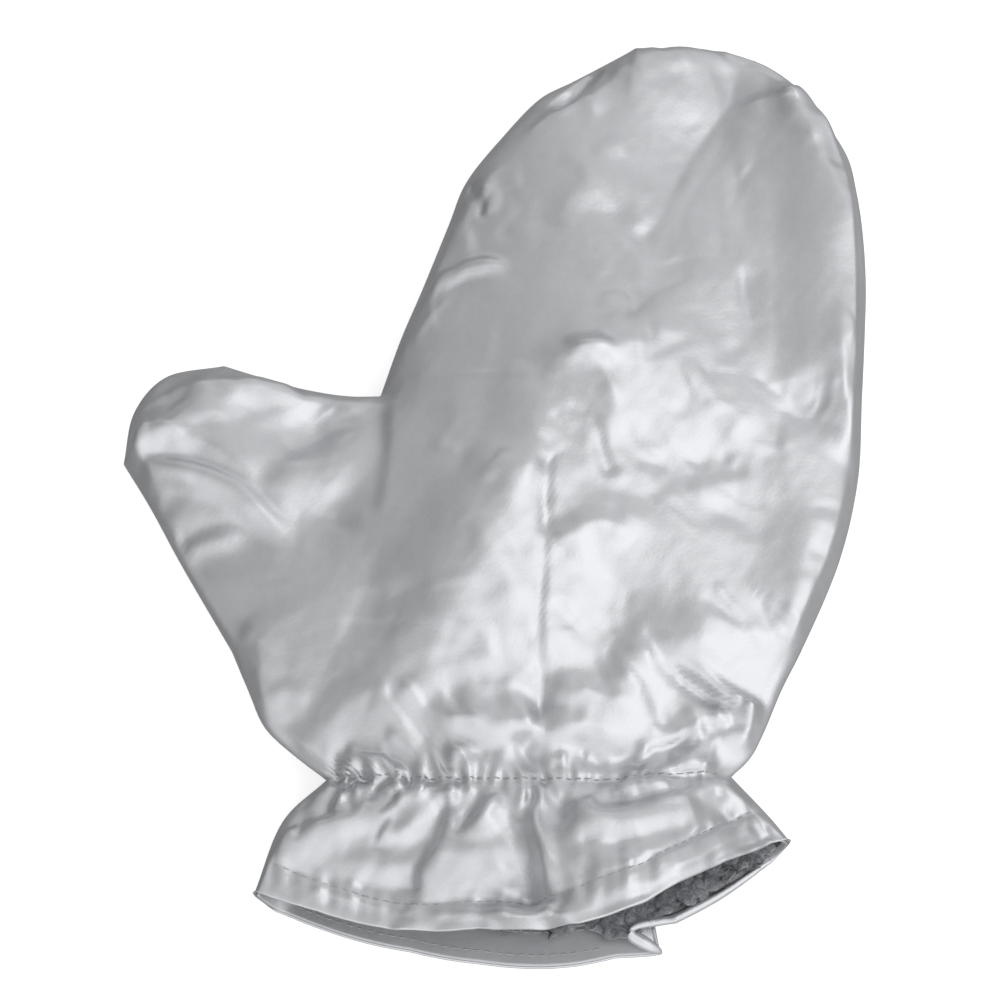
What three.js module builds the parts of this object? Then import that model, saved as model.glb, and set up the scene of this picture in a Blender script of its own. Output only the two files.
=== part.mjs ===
// A silver ironing and steaming mitt lying on its back, with the thumb at the left and the cuff towards -Y.
// Two panels of coated cloth meet at a side seam that runs all round at one height. Each panel is one cut of
// cloth: the hand with its thumb, the wrist that an elastic gathers, and the flared cuff. Felt linings follow
// the panels inside, and a band of the same cloth is turned in at the cuff's mouth.
// Millimetres, +Z up, fingers towards +Y, origin under the middle of the mitt on the surface it lies on.
import * as THREE from "three";

// Heights and walls.
const SEAM_HEIGHT = 12;
const SEAM_GAP = 0.3;
const CLOTH = 1.2;
const PIECE_GAP = 0.3;
const FELT_GAP = 0.5;
const FACING = 1.0;
const ELASTIC = 0.9;
const FELT = 1.6;

// How the cloth swells away from the seam: the height grows as the root of LOFT times the edge distance.
const LOFT = 11.8;
const FLOOR_ROUNDING = 15; // edge distance at which the back panel has come down to the surface
const WAIST_SQUEEZE = 0.46; // how much the elastic flattens the front at the wrist
const WAIST_REACH = 24; // how far along the mitt that squeeze fades out
const DEEPEST_FOLD = 1.5; // how far a valley may press towards the lining
const CORNER_LIFT = 4; // the least that the front stands clear of the seam at the mouth's corners
const BACK_SQUEEZE = 0.2;
const BACK_REACH = 30;

// The hand and cuff, row by row from the mouth to the fingertips: where the side seam is at the left and at
// the right, and how far the row's middle bows towards the mouth.
const ROWS = [
  { name: "hem", leftX: -67.4, leftY: -124.0, rightX: 80.2, rightY: -109.4, bow: 24.9 },
  { name: "flare", leftX: -59.8, leftY: -103.1, rightX: 75.2, rightY: -102.8, bow: 13 },
  { name: "gather", leftX: -48.2, leftY: -91.6, rightX: 64.5, rightY: -90.7, bow: 4.3 },
  { name: "heel", leftX: -57.0, leftY: -84.9, rightX: 69.9, rightY: -85.5, bow: 3.5 },
  { name: "palm_low", leftX: -65.9, leftY: -76.5, rightX: 73.8, rightY: -78.5, bow: 2.5 },
  { name: "palm_swell", leftX: -71.1, leftY: -65.3, rightX: 79.6, rightY: -65.3, bow: 1 },
  { name: "root", leftX: -76.0, leftY: -54.0, rightX: 86.0, rightY: -52.9, bow: 0 },
  { name: "thumb_low", leftX: -65.0, leftY: -30.0, rightX: 97.8, rightY: -26.1, bow: 0 },
  { name: "thumb_mid", leftX: -50.5, leftY: -2.0, rightX: 104.2, rightY: -1.2, bow: 0 },
  { name: "crotch", leftX: -35.3, leftY: 24.9, rightX: 106.6, rightY: 24.3, bow: 0 },
  { name: "knuckle", leftX: -29.6, leftY: 43.1, rightX: 108.6, rightY: 47.1, bow: 0 },
  { name: "finger_low", leftX: -23.6, leftY: 59.0, rightX: 109.6, rightY: 62.0, bow: 0 },
  { name: "finger_mid", leftX: -15.7, leftY: 81.1, rightX: 109.5, rightY: 79.1, bow: 0 },
  { name: "shoulder", leftX: -10.6, leftY: 95.5, rightX: 108.3, rightY: 92.7, bow: 0 },
  { name: "slope", leftX: 0.0, leftY: 110.7, rightX: 106.2, rightY: 104.4, bow: 0 },
  { name: "crown_low", leftX: 12.4, leftY: 125.1, rightX: 98.9, rightY: 118.4, bow: 0 },
  { name: "crown", leftX: 21.6, leftY: 130.4, rightX: 92.5, rightY: 128.0, bow: 0 },
  { name: "crown_high", leftX: 31.0, leftY: 136.0, rightX: 82.0, rightY: 136.7, bow: 0 },
  { name: "tip", leftX: 40.7, leftY: 141.8, rightX: 69.8, rightY: 141.6, bow: -0.4 },
];
// How many cells lie between each row and the next, in the front panel, in the back panel and in the linings.
const CELLS = {
  hem: { front: 5, back: 5, felt: 2 },
  flare: { front: 4, back: 4, felt: 4 },
  gather: { front: 4, back: 4, felt: 4 },
  heel: { front: 2, back: 1, felt: 1 },
  palm_low: { front: 2, back: 1, felt: 1 },
  palm_swell: { front: 2, back: 1, felt: 1 },
  root: { front: 3, back: 2, felt: 1 },
  thumb_low: { front: 3, back: 2, felt: 1 },
  thumb_mid: { front: 4, back: 2, felt: 2 },
  crotch: { front: 3, back: 2, felt: 1 },
  knuckle: { front: 2, back: 1, felt: 1 },
  finger_low: { front: 2, back: 1, felt: 1 },
  finger_mid: { front: 2, back: 2, felt: 1 },
  shoulder: { front: 2, back: 1, felt: 1 },
  slope: { front: 2, back: 1, felt: 1 },
  crown_low: { front: 1, back: 1, felt: 1 },
  crown: { front: 1, back: 1, felt: 1 },
  crown_high: { front: 1, back: 1, felt: 1 },
};
const rowNamed = (name) => ROWS.findIndex((row) => row.name === name);
const GATHER = rowNamed("gather");
const ROOT = rowNamed("root");
const CROTCH = rowNamed("crotch");
const TIP = ROWS.length - 1;
const FACING_ROWS = { first: 0, last: 0.4 };
const ELASTIC_ROWS = { first: GATHER - 0.25, last: GATHER + 0.25 };
const FELT_START = { front: 1, back: 0.45 };

const FRONT_COLUMNS = 26;
const BACK_COLUMNS = 18;
const SAME_ROW = 0.01; // row numbers nearer than this are the same row

// How the cells close up where the cloth turns down to the seam: rows before the tip, columns towards both
// sides, and the thumb's cells towards its end.
const LAST_ROWS = [0.62, 0.28];
const COLUMN_CLOSING = 0.72;
const THUMB_CLOSING = 1.35;

// The thumb's own edge beyond the root and the crotch.
const THUMB_LOWER = [
  { x: -76.0, y: -54.0 },
  { x: -91.9, y: -27.0 },
  { x: -101.3, y: -9.9 },
  { x: -109.6, y: 3.6 },
];
const THUMB_END = [
  { x: -109.6, y: 3.6 },
  { x: -107.2, y: 20.1 },
  { x: -98.8, y: 30.8 },
  { x: -81.3, y: 34.7 },
];
const THUMB_UPPER = [
  { x: -35.3, y: 24.9 },
  { x: -44.1, y: 24.9 },
  { x: -58.9, y: 27.5 },
  { x: -81.3, y: 34.7 },
];
const THUMB_CELLS = { front: 9, back: 6, felt: 5 };

// The cuff's mouth, across from left to right: how far the front hem stands above the seam, and how far the
// front hem and the back hem lie back from the hem row's bow.
const MOUTH = [
  { across: 0, lift: 0, front: 0, back: 0 },
  { across: 0.05, lift: 1.6, front: 1.9, back: 1.6 },
  { across: 0.12, lift: 3.6, front: 3.5, back: 2.2 },
  { across: 0.29, lift: 4.6, front: 5.3, back: 3.2 },
  { across: 0.42, lift: 11, front: 6.5, back: 1.7 },
  { across: 0.54, lift: 19.5, front: 3.2, back: -0.9 },
  { across: 0.6, lift: 24, front: 1.9, back: -1.9 },
  { across: 0.72, lift: 26, front: 2.4, back: -3.2 },
  { across: 0.78, lift: 23, front: 3.9, back: 0 },
  { across: 0.87, lift: 15.5, front: 4.8, back: 0 },
  { across: 0.96, lift: 5, front: 3.5, back: 0.9 },
  { across: 1, lift: 0, front: 0, back: 0 },
];

// The front's folds: each is a crest, or with a negative height a valley, along a line through three points.
// It falls off over one reach at the left of that line's direction and another at the right.
const FOLDS = [
  { name: "thumb_top", x: [-108, -92, -65], y: [5, 11, -11], height: 3.6, left: 9, right: 6 },
  { name: "thumb_middle", x: [-104, -84, -66], y: [-3, -5, -18], height: 2.2, left: 6, right: 9 },
  { name: "thumb_low", x: [-93, -60, -36], y: [-28, -24, -20], height: 3, left: 12, right: 7 },
  { name: "thumb_wedge", x: [-39, -55, -71], y: [20, 4, -3], height: -1.6, left: 8, right: 8 },
  { name: "crotch", x: [-35, -35, -37], y: [20, 1, -19], height: -1.4, left: 6, right: 6 },
  { name: "root_tuck", x: [-75, -67, -69], y: [-46, -54, -69], height: 2.2, left: 6, right: 6 },
  { name: "palm_side", x: [-32, -44, -55], y: [-34, -56, -78], height: -1.6, left: 9, right: 9 },
  { name: "palm_inner", x: [-18, -25, -32], y: [-35, -48, -62], height: -1.4, left: 8, right: 8 },
  { name: "palm_short", x: [-1, -16, -30], y: [-3, -8, -17], height: 2.4, left: 7, right: 7 },
  { name: "diagonal", x: [29, 6, -19], y: [31, 2, -61], height: 3.8, left: 18, right: 15 },
  { name: "knuckles", x: [-6, 28, 72], y: [21, 38, 56], height: 3.8, left: 8, right: 15 },
  { name: "tip_long", x: [72, 69, 38], y: [133, 110, 60], height: 3, left: 9, right: 9 },
  { name: "right_long", x: [92, 90, 86], y: [126, 69, 11], height: -1.6, left: 9, right: 9 },
  { name: "fingers_across", x: [0, 28, 56], y: [69, 73, 74], height: 2, left: 7, right: 7 },
  { name: "hook", x: [22, 28, 25], y: [22, 1, -5], height: 3, left: 6, right: 7 },
  { name: "palm_right", x: [25, 48, 73], y: [-7, -15, -23], height: 2.2, left: 7, right: 7 },
  { name: "palm_bend", x: [15, 42, 62], y: [-25, -23, -50], height: -1.6, left: 8, right: 8 },
  { name: "heel_right", x: [42, 54, 74], y: [-59, -63, -71], height: -1.6, left: 7, right: 7 },
  { name: "heel_swell", x: [31, 43, 56], y: [-84, -76, -68], height: 2.6, left: 9, right: 9 },
  { name: "cuff_left", x: [-14, -21, -26], y: [-97, -114, -130], height: 2.4, left: 8, right: 6 },
  { name: "cuff_centre", x: [16, 19, 22], y: [-97, -113, -128], height: 2, left: 7, right: 7 },
];
const FOLD_FADE = 0.25; // share of a fold's length over which each end fades out
const FOLD_EDGE = 5; // edge distance within which folds fade out towards the seam

// The wrist's gathers, across the gather line: crests that run out into the hand and into the cuff.
const GATHERS = [
  { across: 0.07, height: 2, halfWidth: 5, above: 16, below: 14 },
  { across: 0.2, height: 2.8, halfWidth: 6, above: 26, below: 18 },
  { across: 0.3, height: 2.4, halfWidth: 5, above: 22, below: 22 },
  { across: 0.44, height: 2.6, halfWidth: 6, above: 18, below: 16 },
  { across: 0.53, height: 2.4, halfWidth: 5, above: 16, below: 20 },
  { across: 0.64, height: 2.8, halfWidth: 6, above: 18, below: 22 },
  { across: 0.78, height: 2.2, halfWidth: 6, above: 16, below: 14 },
  { across: 0.9, height: 2, halfWidth: 6, above: 14, below: 12 },
];
const BACK_GATHERS = { count: 7, height: 1.3, reach: 14 };
const GATHER_CALM = { inner: 6, outer: 14 }; // distance from the gather line over which valleys may begin

// The pleat folded into the back of the cuff: the cloth right of it lies on the cloth left of it.
const PLEAT = { x: 39, height: 4.4, rise: 9, tail: 42, tailShare: 0.45 };

const mix = (a, b, share) => a + (b - a) * share;
const smooth = (share) => share * share * (3 - 2 * share);
const clamp01 = (value) => Math.min(1, Math.max(0, value));

// A smooth curve through points that carry x and y.
function curveThrough(points) {
  const route = points.map((point) => new THREE.Vector3(point.x, point.y, 0));
  return new THREE.CatmullRomCurve3(route, false, "centripetal");
}

// The side seam between two rows at one side, as a curve with one control point for each row.
function sideCurve(side, first, last) {
  const points = ROWS.slice(first, last + 1).map((row) => ({ x: row[side + "X"], y: row[side + "Y"] }));
  return { first, last, curve: curveThrough(points) };
}
const LEFT_RUNS = [
  sideCurve("left", 0, GATHER),
  sideCurve("left", GATHER, ROOT),
  sideCurve("left", ROOT, CROTCH),
  sideCurve("left", CROTCH, TIP),
];
const RIGHT_RUNS = [sideCurve("right", 0, GATHER), sideCurve("right", GATHER, TIP)];
const thumbLower = curveThrough(THUMB_LOWER);
const thumbEnd = curveThrough(THUMB_END);
const thumbUpper = curveThrough(THUMB_UPPER);

// A point of the left or right edge at a row number that may lie between two rows.
function edgePoint(runs, row) {
  const run = runs.find((candidate) => row <= candidate.last) ?? runs[runs.length - 1];
  return run.curve.getPoint(clamp01((row - run.first) / (run.last - run.first)));
}

// A point of the mitt laid flat: across runs from 0 at the left edge to 1 at the right.
function planPoint(row, across) {
  const point = edgePoint(LEFT_RUNS, row).lerp(edgePoint(RIGHT_RUNS, row), across);
  const below = Math.min(Math.floor(row), TIP - 1);
  const bow = mix(ROWS[below].bow, ROWS[below + 1].bow, row - below);
  point.y -= bow * 4 * across * (1 - across);
  return point;
}

// The whole side seam as short steps, each with its middle and length, for the edge distance.
const EDGE_STEP = 1.5;
const LEAST_DISTANCE = 0.05;
const edgeSteps = [];
const seamCurves = [
  ...LEFT_RUNS.filter((run) => run.first !== ROOT).map((run) => run.curve),
  ...RIGHT_RUNS.map((run) => run.curve),
  thumbLower,
  thumbEnd,
  thumbUpper,
  curveThrough([0, 0.5, 1].map((across) => planPoint(TIP, across))),
];
for (const curve of seamCurves) {
  const points = curve.getPoints(Math.ceil(curve.getLength() / EDGE_STEP));
  for (let i = 1; i < points.length; i++) {
    const middle = points[i].clone().lerp(points[i - 1], 0.5);
    edgeSteps.push({ x: middle.x, y: middle.y, length: points[i].distanceTo(points[i - 1]) });
  }
}

// A smooth stand-in for the distance to the side seam: near the seam it is that distance, and it levels off
// in the middle of the hand and of the thumb.
function edgeDistance(point) {
  let sum = 0;
  for (const step of edgeSteps) {
    const distance = Math.hypot(point.x - step.x, point.y - step.y);
    sum += step.length / Math.max(distance, LEAST_DISTANCE) ** 3;
  }
  return Math.sqrt(2 / sum);
}

// A column of the mouth's table, read between its rows.
function mouthValue(column, across) {
  const after = Math.max(1, MOUTH.findIndex((knot) => knot.across >= across));
  const from = MOUTH[after - 1];
  const to = MOUTH[after];
  return mix(from[column], to[column], clamp01((across - from.across) / (to.across - from.across)));
}

// How far along and how far to the side of a fold's line a point lies.
function besideFold(fold, point) {
  let nearest = { distance: Infinity };
  for (const piece of [0, 1]) {
    const runX = fold.x[piece + 1] - fold.x[piece];
    const runY = fold.y[piece + 1] - fold.y[piece];
    const fromX = point.x - fold.x[piece];
    const fromY = point.y - fold.y[piece];
    const along = clamp01((fromX * runX + fromY * runY) / (runX * runX + runY * runY));
    const distance = Math.hypot(fromX - runX * along, fromY - runY * along);
    const onLeft = runX * fromY - runY * fromX > 0;
    if (distance < nearest.distance) nearest = { distance, onLeft, along: (piece + along) / 2 };
  }
  return nearest;
}

// The relief of all folds at a point of the front.
function foldRelief(point, fromGather) {
  let relief = 0;
  for (const fold of FOLDS) {
    const { distance, onLeft, along } = besideFold(fold, point);
    const side = clamp01(1 - distance / (onLeft ? fold.left : fold.right));
    const ends = smooth(clamp01(along / FOLD_FADE)) * smooth(clamp01((1 - along) / FOLD_FADE));
    relief += fold.height * side * side * ends;
  }
  const { inner, outer } = GATHER_CALM;
  const deepest = DEEPEST_FOLD * clamp01((Math.abs(fromGather) - inner) / (outer - inner));
  return Math.max(relief, -deepest) * clamp01(edgeDistance(point) / FOLD_EDGE);
}

// The relief of the front's gathers.
function gatherRelief(point, fromGather) {
  let relief = 0;
  for (const crest of GATHERS) {
    const centre = planPoint(GATHER, crest.across).x;
    const side = clamp01(1 - Math.abs(point.x - centre) / crest.halfWidth);
    const end = clamp01(1 - Math.abs(fromGather) / (fromGather > 0 ? crest.above : crest.below));
    relief += crest.height * smooth(side) * smooth(end);
  }
  return relief * clamp01(edgeDistance(point) / FOLD_EDGE);
}

// The relief of the back's gathers, evenly spread and pressed flat by the surface below.
function backGatherRelief(across, fromGather, inward) {
  const wave = 0.5 - 0.5 * Math.cos(2 * Math.PI * BACK_GATHERS.count * across);
  return BACK_GATHERS.height * wave * smooth(clamp01(1 - fromGather / BACK_GATHERS.reach)) * inward;
}

// How much the pleat lifts the back of the cuff. The lining starts its rise earlier, so that it stays above.
function pleatLift(row, point, lead) {
  if (row >= GATHER) return 0;
  const beyond = point.x + lead - PLEAT.x;
  const rise = smooth(clamp01(0.5 + beyond / PLEAT.rise));
  const tail = mix(1, PLEAT.tailShare, clamp01(beyond / PLEAT.tail));
  return PLEAT.height * rise * tail * (1 - row / GATHER);
}

// Height above the seam of the front, before folds.
function frontLift(row, across, point) {
  const fromGather = point.y - planPoint(GATHER, across).y;
  const squeeze = 1 - WAIST_SQUEEZE * Math.exp(-((fromGather / WAIST_REACH) ** 2));
  const swell = Math.sqrt(LOFT * edgeDistance(point)) * squeeze;
  if (row >= GATHER) return swell;
  const mouth = Math.max(mouthValue("lift", across), Math.min(CORNER_LIFT, swell));
  return mix(mouth, swell, smooth(row / GATHER));
}

// Depth below the seam of the back: it comes down to the surface and is flat there.
function backDrop(row, across, point, isFelt) {
  const fromGather = Math.abs(point.y - planPoint(GATHER, across).y);
  const squeeze = 1 - BACK_SQUEEZE * smooth(clamp01(1 - fromGather / BACK_REACH));
  const inward = clamp01(edgeDistance(point) / FLOOR_ROUNDING);
  const drop = SEAM_HEIGHT * Math.sqrt(1 - (1 - inward) ** 2) * squeeze;
  const gathered = isFelt ? 0 : backGatherRelief(across, fromGather, inward);
  return drop + gathered - pleatLift(row, point, isFelt ? PLEAT.rise : 0) * inward;
}

// One corner of a panel's grid. onSeam says that it lies on the side seam, where the panel ends.
function panelVertex(face, isFelt, point, row, across, onSeam) {
  const upward = face === "front" ? 1 : -1;
  const fromGather = point.y - planPoint(GATHER, across).y;
  let swell = face === "front" ? frontLift(row, across, point) : backDrop(row, across, point, isFelt);
  if (face === "front" && !isFelt) {
    swell += foldRelief(point, fromGather) + gatherRelief(point, fromGather);
  }
  const fromSeam = onSeam ? SEAM_GAP / 2 : Math.max(SEAM_GAP / 2, swell);
  const position = new THREE.Vector3(point.x, point.y, SEAM_HEIGHT + upward * fromSeam);
  position.y += mouthValue(face, across) * clamp01(1 - row / GATHER) ** 2;
  return { position, onSeam };
}

// The rows of cells, as row numbers, from a first row number to the tip.
function rowNumbers(firstRow, density) {
  const numbers = ROWS.slice(0, TIP).flatMap((row, index) => {
    const count = CELLS[row.name][density];
    return Array.from({ length: count }, (_, cell) => index + cell / count);
  });
  const before = numbers.filter((row) => row > firstRow + SAME_ROW && row <= TIP - 1);
  return [firstRow, ...before, ...LAST_ROWS.map((back) => TIP - back), TIP];
}

// Column positions from 0 to 1, closer together at both edges.
function columnNumbers(count) {
  return Array.from({ length: count + 1 }, (_, column) => {
    const even = column / count;
    return mix(even, 0.5 - 0.5 * Math.cos(Math.PI * even), COLUMN_CLOSING);
  });
}

// A panel as a sheet of vertices and four-sided cells: the hand and cuff, then the thumb, joined on at its
// base. The thumb's points blend its lower and upper edges with its base and end.
function panelSheet(face, columns, density, firstRow = 0) {
  const isFelt = density === "felt";
  const vertices = [];
  const cells = [];
  const add = (vertex) => vertices.push(vertex) - 1;
  const acrossAt = columnNumbers(columns);
  const rows = rowNumbers(firstRow, density);
  const onBase = (row) => row > ROOT + SAME_ROW && row < CROTCH - SAME_ROW;
  const body = rows.map((row) =>
    acrossAt.map((across, column) => {
      const atLeft = column === 0 && !onBase(row);
      const onSeam = atLeft || column === columns || row === TIP;
      return add(panelVertex(face, isFelt, planPoint(row, across), row, across, onSeam));
    }),
  );
  for (let i = 1; i < body.length; i++)
    for (let j = 1; j < body[i].length; j++)
      cells.push([body[i - 1][j - 1], body[i - 1][j], body[i][j], body[i][j - 1]]);

  const thumbRows = rows.filter((row) => row > ROOT - SAME_ROW && row < CROTCH + SAME_ROW);
  const outward = THUMB_CELLS[density];
  const thumb = thumbRows.map((row, i) => {
    const up = i / (thumbRows.length - 1);
    const base = planPoint(row, 0);
    const end = thumbEnd.getPoint(up);
    return Array.from({ length: outward + 1 }, (_, step) => {
      if (step === 0) return body[rows.indexOf(row)][0];
      const out = 1 - (1 - step / outward) ** THUMB_CLOSING;
      const lowerToUpper = thumbLower.getPoint(out).lerp(thumbUpper.getPoint(out), up);
      const baseToEnd = base.clone().lerp(end, out);
      const rootToEnd = thumbLower.getPoint(0).lerp(thumbLower.getPoint(1), out);
      const crotchToEnd = thumbUpper.getPoint(0).lerp(thumbUpper.getPoint(1), out);
      const point = lowerToUpper.add(baseToEnd).sub(rootToEnd.lerp(crotchToEnd, up));
      const onSeam = step === outward || i === 0 || i === thumbRows.length - 1;
      return add(panelVertex(face, isFelt, point, row, 0, onSeam));
    });
  });
  for (let i = 1; i < thumb.length; i++)
    for (let k = 1; k <= outward; k++)
      cells.push([thumb[i - 1][k], thumb[i - 1][k - 1], thumb[i][k - 1], thumb[i][k]]);

  if (face === "back") cells.forEach((cell) => cell.reverse());
  return { vertices, cells, body, rows };
}

// Two triangles for each cell.
const trianglesOf = (cells) => cells.flatMap(([a, b, c, d]) => [[a, b, c], [a, c, d]]);

// The sheet moved inwards by a distance that keeps its faces parallel, with seam edges kept in their plane.
const LEAST_MITRE = 0.45;
function inset(sheet, distance) {
  if (distance === 0) return sheet;
  const normals = sheet.vertices.map(() => new THREE.Vector3());
  const touching = sheet.vertices.map(() => []);
  for (const triangle of trianglesOf(sheet.cells)) {
    const [a, b, c] = triangle.map((index) => sheet.vertices[index].position);
    const normal = new THREE.Vector3().crossVectors(b.clone().sub(a), c.clone().sub(a));
    triangle.forEach((index) => {
      normals[index].add(normal);
      touching[index].push(normal.clone().normalize());
    });
  }
  const vertices = sheet.vertices.map((vertex, index) => {
    const normal = normals[index];
    if (vertex.onSeam) normal.z = 0;
    normal.normalize();
    const facing = Math.min(...touching[index].map((face) => face.dot(normal)));
    const reach = distance / Math.max(LEAST_MITRE, facing);
    return { ...vertex, position: vertex.position.clone().addScaledVector(normal, -reach) };
  });
  return { ...sheet, vertices };
}

// A closed wall between an outer and an inner sheet that have the same cells.
function wallGeometry(outer, inner) {
  const count = outer.vertices.length;
  const faces = trianglesOf(outer.cells);
  const directed = new Set(faces.flatMap(([a, b, c]) => [`${a},${b}`, `${b},${c}`, `${c},${a}`]));
  const rims = [];
  for (const edge of directed) {
    const [a, b] = edge.split(",").map(Number);
    if (!directed.has(`${b},${a}`)) rims.push([b, a, a + count], [b, a + count, b + count]);
  }
  const inside = faces.map(([a, b, c]) => [a + count, c + count, b + count]);
  const positions = [...outer.vertices, ...inner.vertices].flatMap((vertex) => vertex.position.toArray());
  const geometry = new THREE.BufferGeometry();
  geometry.setAttribute("position", new THREE.Float32BufferAttribute(positions, 3));
  geometry.setIndex([...faces, ...inside, ...rims].flat());
  geometry.computeVertexNormals();
  return geometry;
}

// A panel's wall, from a depth inside the outer surface.
function panelWall(sheet, depth, thickness) {
  return wallGeometry(inset(sheet, depth), inset(sheet, depth + thickness));
}

// A loop of cloth inside both panels between two row numbers: round the front, then back round the back.
function loopWall(front, back, span, depth, thickness) {
  const ringsOf = (sheet) => {
    const inSpan = (row) => row > span.first - SAME_ROW && row < span.last + SAME_ROW;
    return sheet.body.filter((_, index) => inSpan(sheet.rows[index]));
  };
  const frontRings = ringsOf(front);
  const backRings = ringsOf(back).map((ring) => [...ring].reverse());
  const layer = (distance) => {
    const frontLayer = inset(front, distance).vertices;
    const backLayer = inset(back, distance).vertices;
    return frontRings.flatMap((ring, i) => [
      ...ring.map((index) => frontLayer[index]),
      ...backRings[i].map((index) => backLayer[index]),
    ]);
  };
  const round = frontRings[0].length + backRings[0].length;
  const cells = [];
  for (let i = 1; i < frontRings.length; i++)
    for (let j = 0; j < round; j++) {
      const next = (j + 1) % round;
      cells.push([(i - 1) * round + j, (i - 1) * round + next, i * round + next, i * round + j]);
    }
  return wallGeometry({ vertices: layer(depth), cells }, { vertices: layer(depth + thickness), cells });
}

// Materials.
const silverCloth = new THREE.MeshStandardMaterial({ color: 0xc9cacd, metalness: 0.75, roughness: 0.38 });
const facingCloth = new THREE.MeshStandardMaterial({ color: 0xb4b5b8, metalness: 0.5, roughness: 0.5 });
const greyFelt = new THREE.MeshStandardMaterial({ color: 0x8a8b8d, metalness: 0, roughness: 0.95 });
const elasticWeave = new THREE.MeshStandardMaterial({ color: 0xd8d8d6, metalness: 0, roughness: 0.8 });

const mitt = new THREE.Group();
function addPiece(name, geometry, material) {
  const mesh = new THREE.Mesh(geometry, material);
  mesh.name = name;
  mitt.add(mesh);
}

const frontSheet = panelSheet("front", FRONT_COLUMNS, "front");
const backSheet = panelSheet("back", BACK_COLUMNS, "back");
addPiece("front_panel", panelWall(frontSheet, 0, CLOTH), silverCloth);
addPiece("back_panel", panelWall(backSheet, 0, CLOTH), silverCloth);

const underCloth = CLOTH + PIECE_GAP;
const facingLoop = loopWall(frontSheet, backSheet, FACING_ROWS, underCloth, FACING);
addPiece("hem_facing", facingLoop, facingCloth);
addPiece("wrist_elastic", loopWall(frontSheet, backSheet, ELASTIC_ROWS, underCloth, ELASTIC), elasticWeave);

const underElastic = underCloth + ELASTIC + FELT_GAP;
const frontFelt = panelSheet("front", FRONT_COLUMNS / 2, "felt", FELT_START.front);
const backFelt = panelSheet("back", BACK_COLUMNS / 2, "felt", FELT_START.back);
addPiece("front_lining", panelWall(frontFelt, underElastic, FELT), greyFelt);
addPiece("back_lining", panelWall(backFelt, underElastic, FELT), greyFelt);

export default mitt;
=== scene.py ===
import math
import bmesh
import bpy
import numpy as np
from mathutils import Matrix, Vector


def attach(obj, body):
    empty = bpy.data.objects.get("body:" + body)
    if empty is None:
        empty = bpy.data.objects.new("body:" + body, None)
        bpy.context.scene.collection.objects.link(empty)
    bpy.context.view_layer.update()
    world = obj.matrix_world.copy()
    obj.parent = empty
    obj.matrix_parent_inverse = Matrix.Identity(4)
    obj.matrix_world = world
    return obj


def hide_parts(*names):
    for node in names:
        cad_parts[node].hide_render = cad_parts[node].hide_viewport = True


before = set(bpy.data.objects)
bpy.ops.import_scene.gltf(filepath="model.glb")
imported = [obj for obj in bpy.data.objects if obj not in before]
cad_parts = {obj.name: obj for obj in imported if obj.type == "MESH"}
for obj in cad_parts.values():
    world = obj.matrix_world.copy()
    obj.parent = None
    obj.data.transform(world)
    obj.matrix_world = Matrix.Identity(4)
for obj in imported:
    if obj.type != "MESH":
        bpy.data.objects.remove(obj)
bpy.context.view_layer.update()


# Front panel: the front of the mitt with its thumb, the wrist gathers and the front of the flared cuff, in
# one cut of aluminium-coated woven cloth. It is sewn to the back panel all round, turned right side out,
# and lies loosely puffed over the felt, with the folds it was left in.

MM = 0.001  # all shapes are worked out in millimetres
SEAM_HEIGHT = 12.0  # of the side seam above the floor
LOFT = 11.8  # the square of the puffed front's height, over the distance to the seam
WAIST_SQUEEZE = 0.46  # share of that height that the elastic takes away at the gather line
WAIST_REACH = 24.0  # along the mitt, from the gather line
CORNER_LIFT = 4.0  # of the mouth's edge just inside the side seams
LEAST_LIFT = 0.02  # each panel keeps this far from the seam's level

# name, left x and y, right x and y, bow towards the mouth
CUT_ROWS = [
    ("hem", -67.4, -124.0, 80.2, -109.4, 24.9),
    ("flare", -59.8, -103.1, 75.2, -102.8, 13.0),
    ("gather", -48.2, -91.6, 64.5, -90.7, 4.3),
    ("heel", -57.0, -84.9, 69.9, -85.5, 3.5),
    ("palm_low", -65.9, -76.5, 73.8, -78.5, 2.5),
    ("palm_swell", -71.1, -65.3, 79.6, -65.3, 1.0),
    ("root", -76.0, -54.0, 86.0, -52.9, 0.0),
    ("thumb_low", -65.0, -30.0, 97.8, -26.1, 0.0),
    ("thumb_mid", -50.5, -2.0, 104.2, -1.2, 0.0),
    ("crotch", -35.3, 24.9, 106.6, 24.3, 0.0),
    ("knuckle", -29.6, 43.1, 108.6, 47.1, 0.0),
    ("finger_low", -23.6, 59.0, 109.6, 62.0, 0.0),
    ("finger_mid", -15.7, 81.1, 109.5, 79.1, 0.0),
    ("shoulder", -10.6, 95.5, 108.3, 92.7, 0.0),
    ("slope", 0.0, 110.7, 106.2, 104.4, 0.0),
    ("crown_low", 12.4, 125.1, 98.9, 118.4, 0.0),
    ("crown", 21.6, 130.4, 92.5, 128.0, 0.0),
    ("crown_high", 31.0, 136.0, 82.0, 136.7, 0.0),
    ("tip", 40.7, 141.8, 69.8, 141.6, -0.4),
]
CUT_LEFT = np.array([row[1:3] for row in CUT_ROWS])
CUT_RIGHT = np.array([row[3:5] for row in CUT_ROWS])
CUT_BOW = np.array([row[5] for row in CUT_ROWS])
GATHER, ROOT, CROTCH, TIP = 2, 6, 9, 18
THUMB_LOWER = np.array([[-76.0, -54.0], [-91.9, -27.0], [-101.3, -9.9], [-109.6, 3.6]])
THUMB_END = np.array([[-109.6, 3.6], [-107.2, 20.1], [-98.8, 30.8], [-81.3, 34.7]])
THUMB_UPPER = np.array([[-35.3, 24.9], [-44.1, 24.9], [-58.9, 27.5], [-81.3, 34.7]])

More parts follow.
